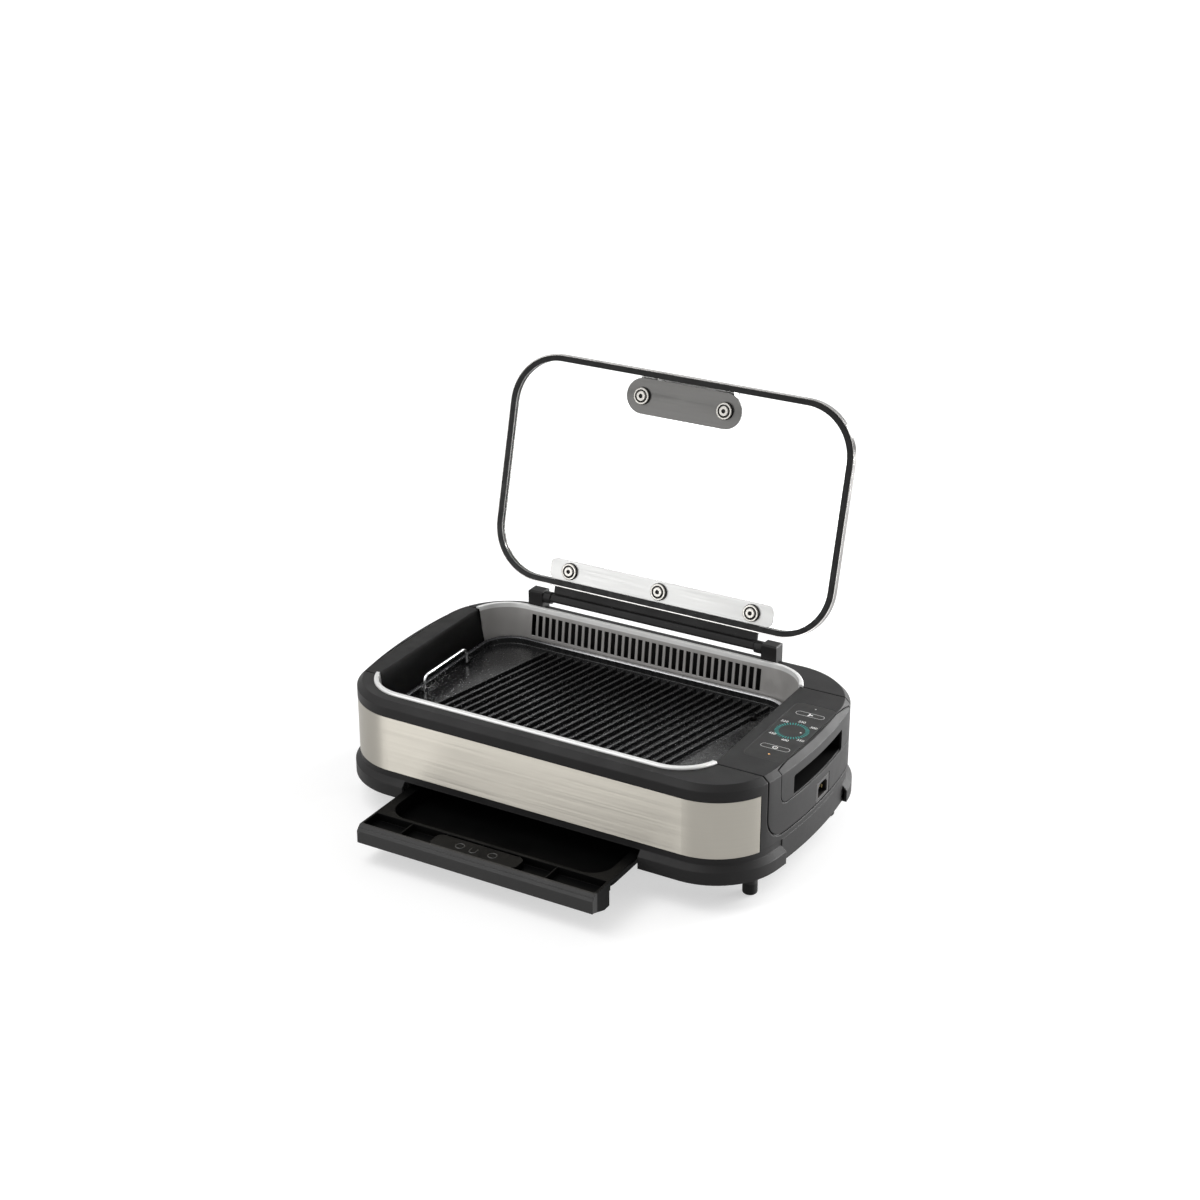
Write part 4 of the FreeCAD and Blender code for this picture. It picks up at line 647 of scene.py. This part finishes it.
# Painted highlight: the bead is painted pale along the back and right, and black at the left end.
rim_highlight = new_finish("rim_painted_highlight", (0.45, 0.45, 0.46), 0.28, 0.4)
vary_colour(rim_highlight, along(rim_highlight, "X", highlight_from, highlight_to), (0.03, 0.03, 0.033), (0.45, 0.45, 0.46))
vary_roughness(rim_highlight, noise(rim_highlight, 220.0), 0.22, 0.34)
emboss(rim_highlight, noise(rim_highlight, 500.0, 1.0), 0.00003, 0.2)
new_piece("plate_rim_bead", bead_grid, grid_faces(*bead_grid.shape[:2], wrap_rows=True), rim_highlight, "plate",
          "nonstick_aluminium")

# %% [markdown]
# ## Raised marks on the drawer's finger plate
#
# The plate that a finger presses to pull the drawer carries three small raised marks: a ring at each side and a
# round-ended hook between them. They are moulded with the drawer. A text could be raised there, but plain signs
# need no language, so each mark is a half-round bead drawn along a short path.

# %% Finger plate marks
drawer_low, drawer_high = (np.array(corner, float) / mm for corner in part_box("drip_drawer"))
plate_drop, mark_radius, mark_sink = 0.5, 0.8, 0.35
plate_top = drawer_high[2] - plate_drop
marks_middle = np.array(((drawer_low[0] + drawer_high[0]) / 2 - 7.0, drawer_low[1] + 21.0))


def bead_along(path_points, radius, foot):
    """A half-round bead: at each path point a half circle stands across the path, foot + radius sin a high."""
    ahead = np.gradient(path_points, axis=0)
    ahead = ahead / np.linalg.norm(ahead, axis=1, keepdims=True)
    across = np.stack([-ahead[:, 1], ahead[:, 0]], -1)
    angle = np.linspace(0.0, np.pi, 9)
    flat = path_points[:, None, :] + across[:, None, :] * (radius * np.cos(angle))[None, :, None]
    rise = np.broadcast_to(foot + radius * np.sin(angle), flat.shape[:2])
    points = np.concatenate([flat, rise[..., None]], -1) * mm
    return points.reshape(-1, 3), grid_faces(*flat.shape[:2])[:, ::-1]


def arc_path(centre, radius, start, stop, steps):
    """Points centre + radius (cos a, sin a) between two angles in degrees."""
    angle = np.radians(np.linspace(start, stop, steps))
    return np.asarray(centre) + radius * np.stack([np.cos(angle), np.sin(angle)], -1)


hook_middle, hook_radius, hook_leg = marks_middle + (-3.0, -2.0), 4.0, 5.0
hook = np.concatenate([[hook_middle + (-hook_radius, hook_leg)], arc_path(hook_middle, hook_radius, 180.0, 360.0, 24),
                       [hook_middle + (hook_radius, hook_leg)]])
ring_aside, ring_radius, ring_from, ring_to = 21.0, 5.0, 20.0, 388.0
left_ring, right_ring = (arc_path(marks_middle + (side * ring_aside, 0.0), ring_radius, ring_from, ring_to, 48)
                         for side in (-1, 1))
marks = [bead_along(line, mark_radius, plate_top - mark_sink) for line in (left_ring, hook, right_ring)]
mark_gloss = new_finish("polished_mark_plastic", (0.022, 0.022, 0.022), 0.22)
vary_roughness(mark_gloss, noise(mark_gloss, 300.0), 0.18, 0.28)
emboss(mark_gloss, noise(mark_gloss, 900.0), 0.00003, 0.2)
new_piece("finger_plate_marks", *stack(marks), mark_gloss, "drawer", "black_drawer_plastic")

# %% [markdown]
# ## Floor and light
#
# The picture has a pure white ground with only a soft shadow. Pouring on light until the floor burns out would
# burn the steel out too. Instead the floor adds a little glow of its own, which the camera sees whole, through glass
# too, and mirrors see by half. It reaches white while the light on the grill stays plain and the shadow stays.

# %% Floor
floor_half = 30.0
floor_mesh = bpy.data.meshes.new("floor")
floor_mesh.from_pydata([(-floor_half, -floor_half, 0), (floor_half, -floor_half, 0),
                        (floor_half, floor_half, 0), (-floor_half, floor_half, 0)], [], [(0, 1, 2, 3)])
floor = bpy.data.objects.new("floor", floor_mesh)
bpy.context.collection.objects.link(floor)
floor_paint = new_finish("pale_floor", (0.55, 0.55, 0.55), 0.9, Specular_IOR_Level=0.0)
seen = floor_paint.node_tree.nodes.new("ShaderNodeLightPath")
half_in_mirrors = spread(floor_paint, seen.outputs["Is Glossy Ray"], 0.0, 0.5, 0.0, 1.0)
shown = greatest(floor_paint.node_tree, seen.outputs["Is Camera Ray"], half_in_mirrors,
                 seen.outputs["Is Transmission Ray"])
away = add_node(floor_paint, "ShaderNodeVectorMath")
away.operation = "LENGTH"
join(floor_paint, place(floor_paint), away.inputs[0])
glow = add_node(floor_paint, "ShaderNodeMath")
glow.operation = "MULTIPLY"
near_glow, far_glow, near_edge, far_edge = 0.52, 1.0, 0.5, 2.5
by_distance = spread(floor_paint, away.outputs["Value"], near_glow, far_glow, near_edge, far_edge)
join(floor_paint, by_distance, glow.inputs[0])
join(floor_paint, shown, glow.inputs[1])
shader_of(floor_paint).inputs["Emission Color"].default_value = (1.0, 1.0, 1.0, 1.0)
join(floor_paint, glow.outputs["Value"], shader_of(floor_paint).inputs["Emission Strength"])
floor_mesh.materials.append(floor_paint)

# %% [markdown]
# ## Room and lamps
#
# The room is white to the eye and to mirrors, and dimmer as a light, so that the lamps keep their direction. One
# wide softbox hangs above. Two stand at the back right and light the control end. A low one at the front left is
# mirrored in the band's flat front and leaves its corners darker, as a brushed band shows them.

# %% World and lamps
room_light, room_seen = 0.4, 1.0
world = bpy.data.worlds.new("white_room")
bpy.context.scene.world = world
world.use_nodes = True
sky = world.node_tree.nodes["Background"]
sky.inputs["Color"].default_value = (1.0, 1.0, 1.0, 1.0)
path = world.node_tree.nodes.new("ShaderNodeLightPath")
looked_at = greatest(world.node_tree, path.outputs["Is Camera Ray"], path.outputs["Is Glossy Ray"],
                     path.outputs["Is Transmission Ray"])
level = world.node_tree.nodes.new("ShaderNodeMapRange")
level.inputs["To Min"].default_value = room_light
level.inputs["To Max"].default_value = room_seen
world.node_tree.links.new(looked_at, level.inputs["Value"])
world.node_tree.links.new(level.outputs["Result"], sky.inputs["Strength"])


def soft_lamp(name, position, target, size, power, height=None):
    """An area lamp that faces a target: square, or a strip where a height is given too."""
    lamp = bpy.data.lights.new(name, "AREA")
    lamp.shape = "RECTANGLE"
    lamp.size = size
    lamp.size_y = height or size
    lamp.energy = power
    holder = bpy.data.objects.new(name, lamp)
    away = np.array(position, float) - np.array(target, float)
    away = away / np.linalg.norm(away)
    side = np.cross((0.0, 0.0, 1.0), away) if abs(away[2]) < 0.99 else np.array((1.0, 0.0, 0.0))
    side = side / np.linalg.norm(side)
    pose = np.eye(4)
    pose[:3, 0], pose[:3, 1], pose[:3, 2], pose[:3, 3] = side, np.cross(away, side), away, position
    holder.matrix_world = Matrix(pose.tolist())
    bpy.context.collection.objects.link(holder)
    print(name, power, "W")


soft_lamp("overhead_softbox", (-0.7, -0.7, 2.0), (0.0, 0.0, 0.1), 1.5, 22.0)
soft_lamp("right_back_softbox", (1.05, 1.9, 1.05), (0.2, 0.0, 0.1), 1.2, 55.0)
soft_lamp("right_low_strip", (1.6, 1.2, 0.14), (0.2, 0.0, 0.1), 1.4, 70.0, height=0.2)
soft_lamp("left_front_softbox", (-0.95, -1.65, 0.35), (0.0, 0.0, 0.1), 1.0, 12.0, height=0.6)

bpy.context.scene.view_settings.view_transform = "Standard"
